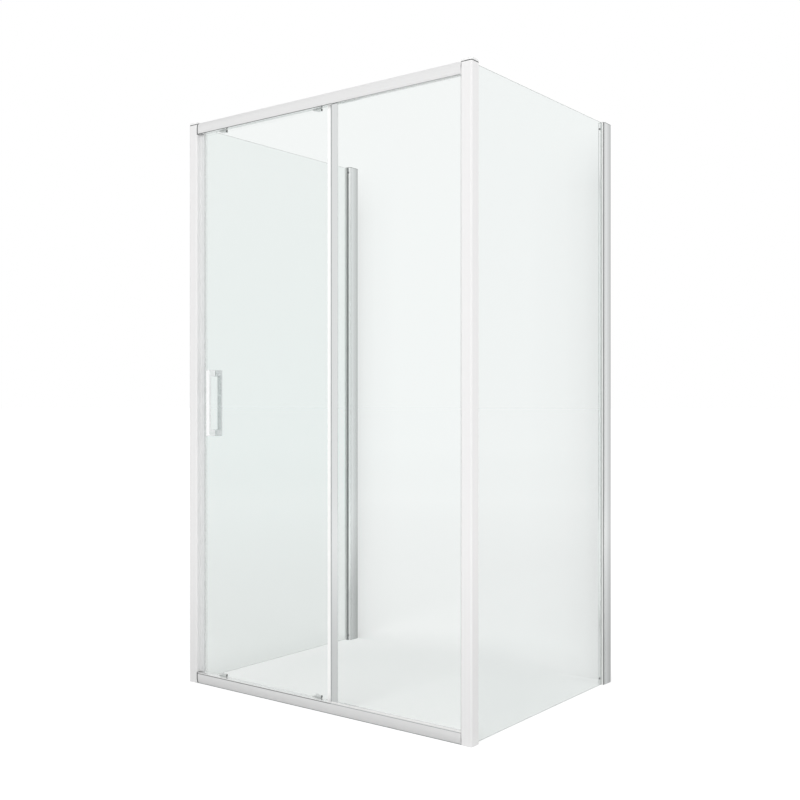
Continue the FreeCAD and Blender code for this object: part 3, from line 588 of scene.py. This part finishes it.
door_pane = pane("door_glass")
stud_low, stud_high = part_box("handle_studs")
bolt_low, bolt_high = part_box("guide_bolts")
for height in (stud_low.z + stud_inset, stud_high.z - stud_inset):
    drill(door_pane, (stud_low.x + stud_high.x) / 2, height, stud_hole)
for side in ("left", "right"):
    low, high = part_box("top_" + side + "_wheel")
    middle = (low.x + high.x) / 2
    drill(door_pane, middle, (low.z + high.z) / 2, axle_hole)
    for offset in (-bolt_offset, bolt_offset):
        drill(door_pane, middle + offset, (bolt_low.z + bolt_high.z) / 2, bolt_hole)
hand_over(door_pane, clear_glass, "door", ("door_glass",))

# %% [markdown]
# ## Handles
#
# The handle is cast in zinc in one piece, a bar with a leg at each end, then
# chromed, bright outside and satin on the inner side. Casting rounds every edge,
# and those soft edges draw the white line down the front. Three blocks could be
# joined, but would show a seam, so one block is cut across where the legs end,
# the legs are drawn out of its back, and all edges but those at the glass are
# rounded.

# %% The outer handle
leg_height = 22 * mm
bar_depth = 11 * mm
handle_round = 2.2 * mm
tiny = 0.01 * mm
grip_low, grip_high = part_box("outer_handle")
bar_back = grip_low.y + bar_depth


def is_leg_root(points):
    """Whether a face is one of the two at the back of the bar from which a leg grows."""
    at_back = all(point.y > bar_back - tiny for point in points)
    at_foot = all(point.z < grip_low.z + leg_height + tiny for point in points)
    at_head = all(point.z > grip_high.z - leg_height - tiny for point in points)
    return at_back and (at_foot or at_head)


outer_grip = block("outer_grip", grip_low, (grip_high.x, bar_back, grip_high.z))
for height in (grip_low.z + leg_height, grip_high.z - leg_height):
    choose(outer_grip, "FACE", lambda points: True)
    bpy.ops.mesh.bisect(plane_co=(0, 0, height), plane_no=(0, 0, 1))
    bpy.ops.object.mode_set(mode="OBJECT")
choose(outer_grip, "FACE", is_leg_root)
bpy.ops.mesh.extrude_region_move(TRANSFORM_OT_translate={"value": (0, grip_high.y - bar_back, 0)})
bpy.ops.object.mode_set(mode="OBJECT")
choose(outer_grip, "EDGE", lambda points: not all(point.y > grip_high.y - tiny for point in points))
bpy.ops.mesh.bevel(offset=handle_round, segments=4, affect="EDGES", clamp_overlap=True)
bpy.ops.object.mode_set(mode="OBJECT")
print("outer grip is", round((grip_high.z - grip_low.z) / mm), "mm long")

# %% [markdown]
# ## The inner handle
#
# The inner handle is the same casting, turned to the other side of the glass, so
# it is a copy of the outer one that is mirrored from front to back. The function
# that copies also serves for solids, whose loose triangles it merges into faces.

# %% The inner handle
merge_distance = 0.001 * mm
flat_angle = math.radians(0.2)


def copy_of(source, name):
    """A copy of a solid or a piece with a mesh of its own, its split corners merged."""
    piece = source.copy()
    piece.data = source.data.copy()
    piece.name = name
    piece.parent = None
    bpy.context.scene.collection.objects.link(piece)
    pick(piece)
    bpy.ops.object.mode_set(mode="EDIT")
    bpy.ops.mesh.select_all(action="SELECT")
    bpy.ops.mesh.remove_doubles(threshold=merge_distance)
    bpy.ops.mesh.dissolve_limited(angle_limit=flat_angle)
    bpy.ops.object.mode_set(mode="OBJECT")
    return piece


inner_grip = copy_of(outer_grip, "inner_grip")
inner_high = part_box("inner_handle")[1]
inner_grip.scale.y = -1
inner_grip.location.y = grip_low.y + inner_high.y
bpy.ops.object.transform_apply(location=True, rotation=True, scale=True)
hand_over(outer_grip, chromed_zinc, "door", ("outer_handle",))
hand_over(inner_grip, satin_zinc, "door", ("inner_handle",))

# %% [markdown]
# ## Wedge gaskets at the wall
#
# Once the side pane stands in the wall profile, a rubber wedge is pressed in on
# each side of it. Its lip lies on the nose of the profile and stands out by 1 to
# 6 mm. Only the lip can be seen, so each is a long block as wide as the gap it
# fills, with its front edges rounded. The inner lips start just clear of the
# locking screws.

# %% Wedge gaskets
lip_depths = {"left_inner": 5.8 * mm, "left_outer": 1.0 * mm,
              "right_inner": 2.4 * mm, "right_outer": 2.4 * mm}
lip_rubbers = {"left": wedge_rubber, "right": dark_rubber}
lip_round = 0.6 * mm
lip_play = 0.1 * mm
inner_start = 568.5 * mm
for side, sign in (("left", -1), ("right", 1)):
    nose_low, nose_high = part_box(side + "_adjusting_profile")
    glass_low, glass_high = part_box(side + "_side_glass")
    inner_face, outer_face = sorted((abs(glass_low.x), abs(glass_high.x)))
    spans = {"inner": (inner_start, inner_face - lip_play),
             "outer": (outer_face + lip_play, max(abs(nose_low.x), abs(nose_high.x)))}
    for name, (near, far) in spans.items():
        left, right = sorted((sign * near, sign * far))
        front = nose_low.y - lip_depths[side + "_" + name]
        lip = block(side + "_" + name + "_wedge_gasket", (left, front, nose_low.z),
                    (right, nose_low.y, nose_high.z))
        choose(lip, "EDGE", lambda points: all(point.y < front + tiny for point in points))
        bpy.ops.mesh.bevel(offset=lip_round, segments=3, affect="EDGES")
        hand_over(lip, lip_rubbers[side], "frame")

# %% [markdown]
# ## Painted shade lines in the joints
#
# A thin slice of dark rubber sits in the joint between each rail and the closing post and
# in the joint under each cap. It paints the shade of the joint as a fine dark line. It has
# the outline of the piece it sits on, so it is a slice off a copy of that piece, swollen by
# a hair.

# %% Shade lines in the joints
shade_line_swell = 0.03 * mm
rail_shade_line, post_shade_line, wall_shade_line = 4.5 * mm, 2.0 * mm, 1.2 * mm


def slice_of(node, name, along, start, end):
    """The slice of a node between two places along an axis."""
    piece = copy_of(nodes[node], name)
    direction = [axis == along for axis in "XYZ"]
    for place, sign in ((start, -1), (end, 1)):
        choose(piece, "FACE", lambda points: True)
        bpy.ops.mesh.bisect(plane_co=[place * share for share in direction],
                            plane_no=[sign * share for share in direction],
                            clear_outer=True, use_fill=True)
        bpy.ops.object.mode_set(mode="OBJECT")
    return piece


def slice_shade_line(node, name, along, start, end):
    """A slice of a node, swollen and made of dark rubber, which paints a shade line."""
    piece = slice_of(node, name, along, start, end)
    choose(piece, "FACE", lambda points: True)
    bpy.ops.transform.shrink_fatten(value=shade_line_swell)
    hand_over(piece, dark_rubber, "frame")


for rail in ("top_rail", "bottom_rail"):
    rail_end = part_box(rail)[0].x
    slice_shade_line(rail, rail + "_gasket", "X", rail_end + tiny, rail_end + rail_shade_line)
for side in ("left", "right"):
    post_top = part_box(side + "_post")[1].z
    slice_shade_line(side + "_post", side + "_post_cap_shade_line", "Z", post_top - post_shade_line, post_top - tiny)
    profile_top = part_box(side + "_wall_channel")[1].z
    slice_shade_line(side + "_wall_cap", side + "_wall_cap_shade_line", "Z", profile_top + tiny,
                 profile_top + wall_shade_line)

# %% [markdown]
# ## The door's magnetic seal
#
# The seal that meets the closing post is extruded from two vinyls at once: a grey
# nose round the magnet, and two clear legs that grip the glass. A copy of the
# solid is cut at the edge of the pane, once for the nose and once for the legs,
# so that the two keep the outline of the whole. The clear vinyl has so little
# tone that a thin veil over the glass is enough, without bending the light.

# %% Seal nose and clear legs
clear_vinyl, tree, output = new_material("clear soft vinyl")
veil_share = 0.14
# A clear strip shows as a faint milky band over the glass.
gel = add(tree, "ShaderNodeBsdfPrincipled", Base_Color=linear("f2f4f4"), Roughness=0.3, IOR=1.53,
          Alpha=veil_share)
tree.links.new(gel.outputs["BSDF"], output.inputs["Surface"])
low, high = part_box("leading_seal")
door_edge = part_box("door_glass")[0].x
nose = slice_of("leading_seal", "leading_seal_nose", "X", low.x - tiny, door_edge - tiny)
legs = slice_of("leading_seal", "leading_seal_legs", "X", door_edge + tiny, high.x + tiny)
hand_over(nose, magnet_vinyl, "door", ("leading_seal",))
hand_over(legs, clear_vinyl, "door", ("leading_seal",))

# %% [markdown]
# ## Shade lines at the edge profile and the rail's foot
#
# A grey silicone strip runs up the free edge of the fixed pane's profile, and a strip of the
# same rubber lies under the front of the bottom rail. Both paint shade as fine dark lines: at
# the edge of the profile, and where the rail meets the floor. A section could be drawn and
# extruded, but so little of it shows that a long block with its front edges rounded does as well.

# %% Shade lines at the edge profile and the rail's foot
strip_round = 0.25 * mm
edge_line_reach, edge_line_front, edge_line_thickness = 3.6 * mm, 0.8 * mm, 4.0 * mm
foot_setback, foot_depth, foot_height = 3.7 * mm, 6.0 * mm, 2.6 * mm


def soft_strip(name, low, high, soft_material):
    """A long strip of rubber or vinyl with its front edges rounded."""
    piece = block(name, low, high)
    choose(piece, "EDGE", lambda points: all(point.y < low[1] + tiny for point in points))
    bpy.ops.mesh.bevel(offset=strip_round, segments=3, affect="EDGES")
    hand_over(piece, soft_material, "frame")


edge_low, edge_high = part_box("fixed_edge_profile")
soft_strip("edge_shade_line", (edge_low.x - edge_line_reach, edge_low.y + edge_line_front, edge_low.z),
           (edge_low.x, edge_low.y + edge_line_front + edge_line_thickness, edge_high.z), grey_rubber)
sill_low, sill_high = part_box("bottom_rail")
soft_strip("foot_shade_line", (sill_low.x, sill_low.y + foot_setback, sill_low.z),
           (sill_high.x, sill_low.y + foot_setback + foot_depth, sill_low.z + foot_height), grey_rubber)

# %% [markdown]
# ## Shade lines along the top rail
#
# A strip along the lower edge of the top rail's face paints the shade under the rail as a
# fine line, dark at the door and grey at the fixed pane. It stands out by only 0.15 mm. A line
# in the colour alone would catch no light, so the two lengths are strips of the same kind, set into the
# rail.

# %% Top shade lines
shade_line_stand, shade_line_back, shade_line_height = 0.15 * mm, 1.2 * mm, 1.6 * mm
shade_line_drop = 0.3 * mm
panel_start = edge_low.x
shade_line_front = sill_low.y - shade_line_stand
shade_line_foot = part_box("top_rail")[0].z - shade_line_drop
soft_strip("top_rail_shade_line", (sill_low.x, shade_line_front, shade_line_foot),
           (panel_start, sill_low.y + shade_line_back, shade_line_foot + shade_line_height), dark_rubber)
soft_strip("top_panel_shade_line", (panel_start, shade_line_front, shade_line_foot),
           (sill_high.x, sill_low.y + shade_line_back, shade_line_foot + shade_line_height), grey_rubber)

# %% [markdown]
# ## Shade line and lip at the fixed pane
#
# A grey strip runs up the corner between the fixed pane and its post and paints the shade of
# that corner as a fine line. A white vinyl lip stands along the foot of the pane and keeps water out of
# its pocket.
# Both lie on the glass, so their backs are set at the front of the pane.

# %% Post shade line and glazing lip
post_line_width, post_line_depth, post_line_bite = 2.0 * mm, 1.0 * mm, 0.2 * mm
glazing_depth, glazing_height = 2.4 * mm, 2.6 * mm
post_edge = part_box("right_post")[0].x
pane_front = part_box("fixed_glass")[0].y
soft_strip("post_panel_shade_line", (post_edge - post_line_width, pane_front - post_line_depth, sill_high.z),
           (post_edge + post_line_bite, pane_front, shade_line_foot), grey_rubber)
soft_strip("glazing_lip", (panel_start, pane_front - glazing_depth, sill_high.z),
           (post_edge, pane_front, sill_high.z + glazing_height), white_vinyl)

# %% [markdown]
# ## Shade lines along the bottom rail
#
# Another strip lies in the groove along the bottom rail, dark and then grey as above, and
# paints the groove's shade as a fine line. The dark length is a little taller, and so draws
# the stronger line. Both are strips of the same kind, so that they round and shade alike.

# %% Bottom shade lines
groove_drop, groove_depth = 4.0 * mm, 0.7 * mm
groove_line_height, dark_extra = 1.5 * mm, 0.5 * mm
groove = sill_high.z - groove_drop
soft_strip("bottom_rail_shade_line", (sill_low.x, shade_line_front, groove - dark_extra),
           (panel_start, sill_low.y + groove_depth, groove + groove_line_height), dark_rubber)
soft_strip("bottom_panel_shade_line", (panel_start, shade_line_front, groove),
           (sill_high.x, sill_low.y + groove_depth, groove + groove_line_height), grey_rubber)

# %% [markdown]
# ## Buffers on the brackets
#
# Each hanger and each guide has a dark rubber buffer on the end that leads when
# the door is pushed open. A buffer is a small block as high as the part of its
# bracket that stands clear of the rail, with all its edges rounded, since moulded
# rubber has no sharp ones.

# %% Bracket buffers
buffer_length, buffer_round = 2.2 * mm, 0.7 * mm
buffer_inset = 0.4 * mm
rail_edges = {"top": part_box("top_rail")[0].z, "bottom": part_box("bottom_rail")[1].z}
for level, kind in (("top", "hanger"), ("bottom", "guide")):
    for side in ("left", "right"):
        node = level + "_" + side + "_" + kind
        low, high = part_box(node)
        foot, head = sorted((rail_edges[level], low.z if level == "top" else high.z))
        buffer = block(node + "_buffer", (high.x, low.y + buffer_inset, foot),
                       (high.x + buffer_length, high.y - buffer_inset, head))
        choose(buffer, "EDGE", lambda points: True)
        bpy.ops.mesh.bevel(offset=buffer_round, segments=3, affect="EDGES")
        hand_over(buffer, dark_rubber, "door")

# %% [markdown]
# ## Leaf springs
#
# Each guide holds a bent strip of spring steel that lifts its carriage. Pressing the
# release button flattens the strip: its feet stay on the guide, and its crown goes
# down with the carriage. A rigid copy would run into the carriage. The copy of the solid
# here is cut into short lengths, but nothing makes it bend, and it is fastened to no body.

# %% Leaf springs
leaf_cuts = 4
for side in ("left", "right"):
    node = "bottom_" + side + "_spring"
    foot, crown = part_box(node)
    leaf = copy_of(nodes[node], node + "_leaf")
    choose(leaf, "FACE", lambda points: True)
    bpy.ops.mesh.subdivide(number_cuts=leaf_cuts)
    hand_over(leaf, stainless, "door", (node,),
              ("bottom_" + side + "_carriage", tuple(foot), (foot.x, foot.y, crown.z)))

# %% [markdown]
# ## Locking screws
#
# Two pan-head screws in the nose of each wall profile lock the adjustment. A head
# is turned with a domed rim, so one is made from a short cylinder with a bevelled
# rim, and the shank is drawn out of its back. A ball pressed flat could serve for
# the head too, but its rim would be too thin.

# %% One screw with a domed head
head_sides = 32
head_radius, head_depth, head_dome = 3.6 * mm, 2.2 * mm, 1.2 * mm
shank_inset = 1.6 * mm
low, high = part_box("lock_screws")
first_x, first_z = low.x + head_radius, low.z + head_radius
bpy.ops.object.select_all(action="DESELECT")
bpy.ops.mesh.primitive_cylinder_add(vertices=head_sides, radius=head_radius, depth=head_depth,
                                    location=(first_x, low.y + head_depth / 2, first_z),
                                    rotation=(quarter_turn, 0, 0))
screw = bpy.context.object
screw.name = "lock_screw_heads"
bpy.ops.object.transform_apply(location=True, rotation=True, scale=True)
choose(screw, "FACE", lambda points: all(point.y > low.y + head_depth - tiny for point in points))
bpy.ops.mesh.inset(thickness=shank_inset)
bpy.ops.mesh.extrude_region_move(TRANSFORM_OT_translate={"value": (0, high.y - low.y - head_depth, 0)})
bpy.ops.object.mode_set(mode="OBJECT")
choose(screw, "EDGE", lambda points: all(point.y < low.y + tiny for point in points))
bpy.ops.mesh.bevel(offset=head_dome, segments=4, affect="EDGES")
bpy.ops.object.mode_set(mode="OBJECT")
print("screw is", round((high.y - low.y) / mm, 1), "mm long")

# %% [markdown]
# ## Cross recess and four places
#
# The cross is pressed into the head for the driver. Two slots cut it here, which
# is simpler than drawing its outline. The screw is then copied to the other three
# places, and the four are joined, because they stand for one node.

# %% Recess and copies
cross_reach, cross_half_width, cross_depth = 2.1 * mm, 0.45 * mm, 1.1 * mm
for across, up in ((cross_reach, cross_half_width), (cross_half_width, cross_reach)):
    cut_away(screw, block("recess", (first_x - across, low.y - mm, first_z - up),
                          (first_x + across, low.y + cross_depth, first_z + up)))
screw_spans = (high.x - low.x - 2 * head_radius, high.z - low.z - 2 * head_radius)
copies = []
for right, up in ((0, 1), (1, 0), (1, 1)):
    twin = screw.copy()
    twin.data = screw.data.copy()
    bpy.context.scene.collection.objects.link(twin)
    twin.location = (right * screw_spans[0], 0, up * screw_spans[1])
    copies.append(twin)
pick(screw)
for twin in copies:
    twin.select_set(True)
bpy.ops.object.join()
hand_over(screw, dark_steel, "frame", ("lock_screws",))

# %% [markdown]
# ## Caps
#
# The posts and the wall profiles are closed by moulded caps. A mould needs
# rounded edges, so the top edges of each cap are softened. Each cap is a copy of
# its solid with the rim of its top face bevelled, which keeps its fit below.

# %% Caps with soft rims
cap_round = 0.9 * mm
for node in ("left_post_cap", "right_post_cap", "left_wall_cap", "right_wall_cap"):
    cap = copy_of(nodes[node], node + "_soft")
    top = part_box(node)[1].z
    choose(cap, "EDGE", lambda points: all(point.z > top - tiny for point in points))
    bpy.ops.mesh.bevel(offset=cap_round, segments=3, affect="EDGES")
    hand_over(cap, cap_abs, "frame", (node,))

# %% [markdown]
# ## A white floor
#
# The floor is white to the camera and to glass, but gives the object only a plain
# level of light. It could be lit until it is white, but that would bleach the
# object too. So it adds a glow to its lit surface, stronger far away where the
# lamps no longer reach, and still keeps the object's shadow. A little of the glow
# lights the object from below, as a white floor does.

# %% Studio floor
floor_size = 400
# Each row: the rays that see a glow, the metres between which it climbs, and its levels there.
glow_rises = (
    ("camera", 1.2, 5.0, 0.45, 0.6),
    # Glass and mirrors see less glow near the enclosure: painted shade on the floor there.
    ("glass", 0.45, 0.85, 0.275, 0.36),
    ("glass", 1.2, 7.0, 0.0, 0.14),
    ("glass", 7.0, 20.0, 0.0, 0.035),
    ("mirror", 1.2, 5.0, 0.1, 0.54),
    ("dull", 0.0, 1.0, 0.3, 0.3),
)
bpy.ops.object.select_all(action="DESELECT")
bpy.ops.mesh.primitive_plane_add(size=floor_size, location=(0, 0, 0))
floor = bpy.context.object
floor.name = "studio_floor"
floor_paint, tree, output = new_material("matt white floor")
# Matt paint takes a soft shadow and has no gloss.
paint = add(tree, "ShaderNodeBsdfDiffuse", Color=linear("f2f2f2"))
place = add(tree, "ShaderNodeTexCoord")
away = add(tree, "ShaderNodeVectorMath", {"operation": "LENGTH"}, _0=place.outputs["Object"])
path = add(tree, "ShaderNodeLightPath")
mirrored = add(tree, "ShaderNodeMath", {"operation": "SUBTRACT", "use_clamp": True},
               _0=path.outputs["Is Glossy Ray"], _1=path.outputs["Is Transmission Ray"])
rays = {"camera": path.outputs["Is Camera Ray"], "glass": path.outputs["Is Transmission Ray"],
        "mirror": mirrored.outputs["Value"], "dull": path.outputs["Is Diffuse Ray"]}
level = 0.0
for kind, near, far, near_level, far_level in glow_rises:
    climb = add(tree, "ShaderNodeMapRange", Value=away.outputs["Value"], From_Min=near, From_Max=far,
                To_Min=near_level, To_Max=far_level)
    level = add(tree, "ShaderNodeMath", {"operation": "MULTIPLY_ADD"}, _0=climb.outputs["Result"],
                _1=rays[kind], _2=level).outputs["Value"]
glow = add(tree, "ShaderNodeEmission", Color=linear("ffffff"), Strength=level)
lit = add(tree, "ShaderNodeAddShader", _0=paint.outputs["BSDF"], _1=glow.outputs["Emission"])
tree.links.new(lit.outputs["Shader"], output.inputs["Surface"])
floor.data.materials.append(floor_paint)
print("floor glows for", len(rays), "kinds of rays")

# %% [markdown]
# ## A dark flag
#
# In a white room, polished metal has no edges to show. A photographer hangs a
# dark cloth beside the set, and mirrors pick it up as a dark line along the edges
# that turn away. Here it is a large plane at the left that only mirrors see.

# %% Dark flag
flag_size = 6
flag_top, flag_bottom = 0.55, 0.12
bpy.ops.object.select_all(action="DESELECT")
bpy.ops.mesh.primitive_plane_add(size=flag_size, location=(-4.5, 1.4, 2.6), rotation=(0, quarter_turn, 0))
flag = bpy.context.object
flag.name = "dark_flag"
flag_cloth, tree, output = new_material("dark flag cloth")
place = add(tree, "ShaderNodeTexCoord")
parts = add(tree, "ShaderNodeSeparateXYZ", Vector=place.outputs["Generated"])
fade = add(tree, "ShaderNodeMapRange", Value=parts.outputs["X"], To_Min=flag_top, To_Max=flag_bottom)
# The cloth is a grey that deepens towards the floor, so the line it draws is softer at the top.
cloth = add(tree, "ShaderNodeEmission", Color=linear("ffffff"), Strength=fade.outputs["Result"])
tree.links.new(cloth.outputs["Emission"], output.inputs["Surface"])
flag.data.materials.append(flag_cloth)
flag.visible_camera = flag.visible_diffuse = flag.visible_transmission = flag.visible_shadow = False
print("flag is", flag_size, "m wide")

# %% [markdown]
# ## The shaded wall
#
# The wall that carries the profiles is as white as the sky, so only its shade
# shows, the soft one that each wall profile throws beside it. A plane that is
# seen only through the glass holds back a little light near both profiles, and
# fades out towards the top, where the sky lights the wall from above.

# %% Shaded wall
wall_gap = 2 * mm
wall_shades = {0.002: 0.85, 0.03: 0.92, 0.08: 0.97, 0.18: 1.0,
               0.72: 1.0, 0.86: 0.97, 0.93: 0.92, 0.97: 0.85}
fade_start = 0.9
wall_low, wall_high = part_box("right_wall_channel")
bpy.ops.object.select_all(action="DESELECT")
bpy.ops.mesh.primitive_plane_add(size=1, location=(0, wall_plane + wall_gap, wall_high.z / 2),
                                 rotation=(quarter_turn, 0, 0))
wall = bpy.context.object
wall.name = "shaded_wall"
wall.scale = (2 * wall_low.x, wall_high.z, 1)
wall_paint, tree, output = new_material("shaded wall paint")
place = add(tree, "ShaderNodeTexCoord")
parts = add(tree, "ShaderNodeSeparateXYZ", Vector=place.outputs["Generated"])
shade = add(tree, "ShaderNodeValToRGB", Fac=parts.outputs["X"])
for share, level in wall_shades.items():
    shade.color_ramp.elements.new(share).color = (level, level, level, 1.0)
shade.color_ramp.elements.remove(shade.color_ramp.elements[0])
shade.color_ramp.elements.remove(shade.color_ramp.elements[-1])
upper = add(tree, "ShaderNodeMapRange", Value=parts.outputs["Y"], From_Min=fade_start)
tone = add(tree, "ShaderNodeMix", {"data_type": "RGBA"}, _0=upper.outputs["Result"],
           _6=shade.outputs["Color"], _7=linear("ffffff"))
# What shows is the white behind it, dimmed a little by the shade.
veil = add(tree, "ShaderNodeBsdfTransparent", Color=tone.outputs[2])
tree.links.new(veil.outputs["BSDF"], output.inputs["Surface"])
wall.data.materials.append(wall_paint)
wall.visible_camera = wall.visible_diffuse = wall.visible_glossy = wall.visible_shadow = False
print("wall has", len(wall_shades), "steps of shade")

# %% [markdown]
# ## Sky
#
# The sky is pure white where it is seen, straight on, in a mirror or through
# glass. As a light it is about half as strong, so that pale metal keeps its tone.
# A backdrop could do the same, but it would hide the object from some sides.

# %% Sky
sky_light = 0.52
world = bpy.data.worlds.new("white studio")
bpy.context.scene.world = world
world.use_nodes = True
tree = world.node_tree
tree.nodes.clear()
sky_output = tree.nodes.new("ShaderNodeOutputWorld")
path = add(tree, "ShaderNodeLightPath")
seen = path.outputs["Is Camera Ray"]
for kind in ("Is Glossy Ray", "Is Transmission Ray"):
    seen = add(tree, "ShaderNodeMath", {"operation": "MAXIMUM"}, _0=seen,
               _1=path.outputs[kind]).outputs["Value"]
sky_level = add(tree, "ShaderNodeMapRange", Value=seen, To_Min=sky_light, To_Max=1.0)
sky = add(tree, "ShaderNodeBackground", Color=linear("ffffff"), Strength=sky_level.outputs["Result"])
tree.links.new(sky.outputs["Background"], sky_output.inputs["Surface"])
print("sky lights the object at", sky_light)

# %% [markdown]
# ## Lamps
#
# Two large soft lamps, one in front and a weaker one at the right, give the posts
# a bright side and a darker one. A sun would draw hard shadows, so square area
# lamps are used. They are hidden from mirrors, where they would show as squares.

# %% Two soft lamps
lamp_size = 3.0
lamp_aim = (0, 0, 0.9)


def soft_lamp(name, place, power):
    """A square soft lamp that looks at the object and has no mirror image."""
    bpy.ops.object.light_add(type="AREA", location=place)
    lamp = bpy.context.object
    lamp.name = name
    lamp.data.shape = "SQUARE"
    lamp.data.size = lamp_size
    lamp.data.energy = power
    lamp.visible_glossy = False
    lamp.visible_transmission = False
    right, back, up = [aim - start for aim, start in zip(lamp_aim, place)]
    lamp.rotation_euler = (math.atan2(math.hypot(right, back), -up), 0, math.atan2(-right, back))
    print(name, "has", power, "watts")


soft_lamp("front_lamp", (1.4, -4.6, 3.0), power=106)
soft_lamp("side_lamp", (4.4, 0.6, 2.8), power=40)

# %% [markdown]
# ## Camera
#
# The camera stands at about half the height of the enclosure and looks level, so
# that uprights stay upright. A small shift of the lens centres the picture, where
# a tilt would make the posts lean. The plain Standard view shows each colour as
# it is written.

# %% Camera
bpy.context.scene.view_settings.view_transform = "Standard"
camera_data = bpy.data.cameras.new("photo_camera")
camera = bpy.data.objects.new("photo_camera", camera_data)
bpy.context.scene.collection.objects.link(camera)
camera.location = (2.2283, -2.92145, 0.9687)
camera.rotation_euler = (quarter_turn, 0, math.radians(37.29))
camera_data.lens = 47.41
camera_data.sensor_width = 36
camera_data.shift_y = 0.0055
bpy.context.scene.camera = camera
print("camera", [round(metres, 3) for metres in camera.location], "lens", camera_data.lens)
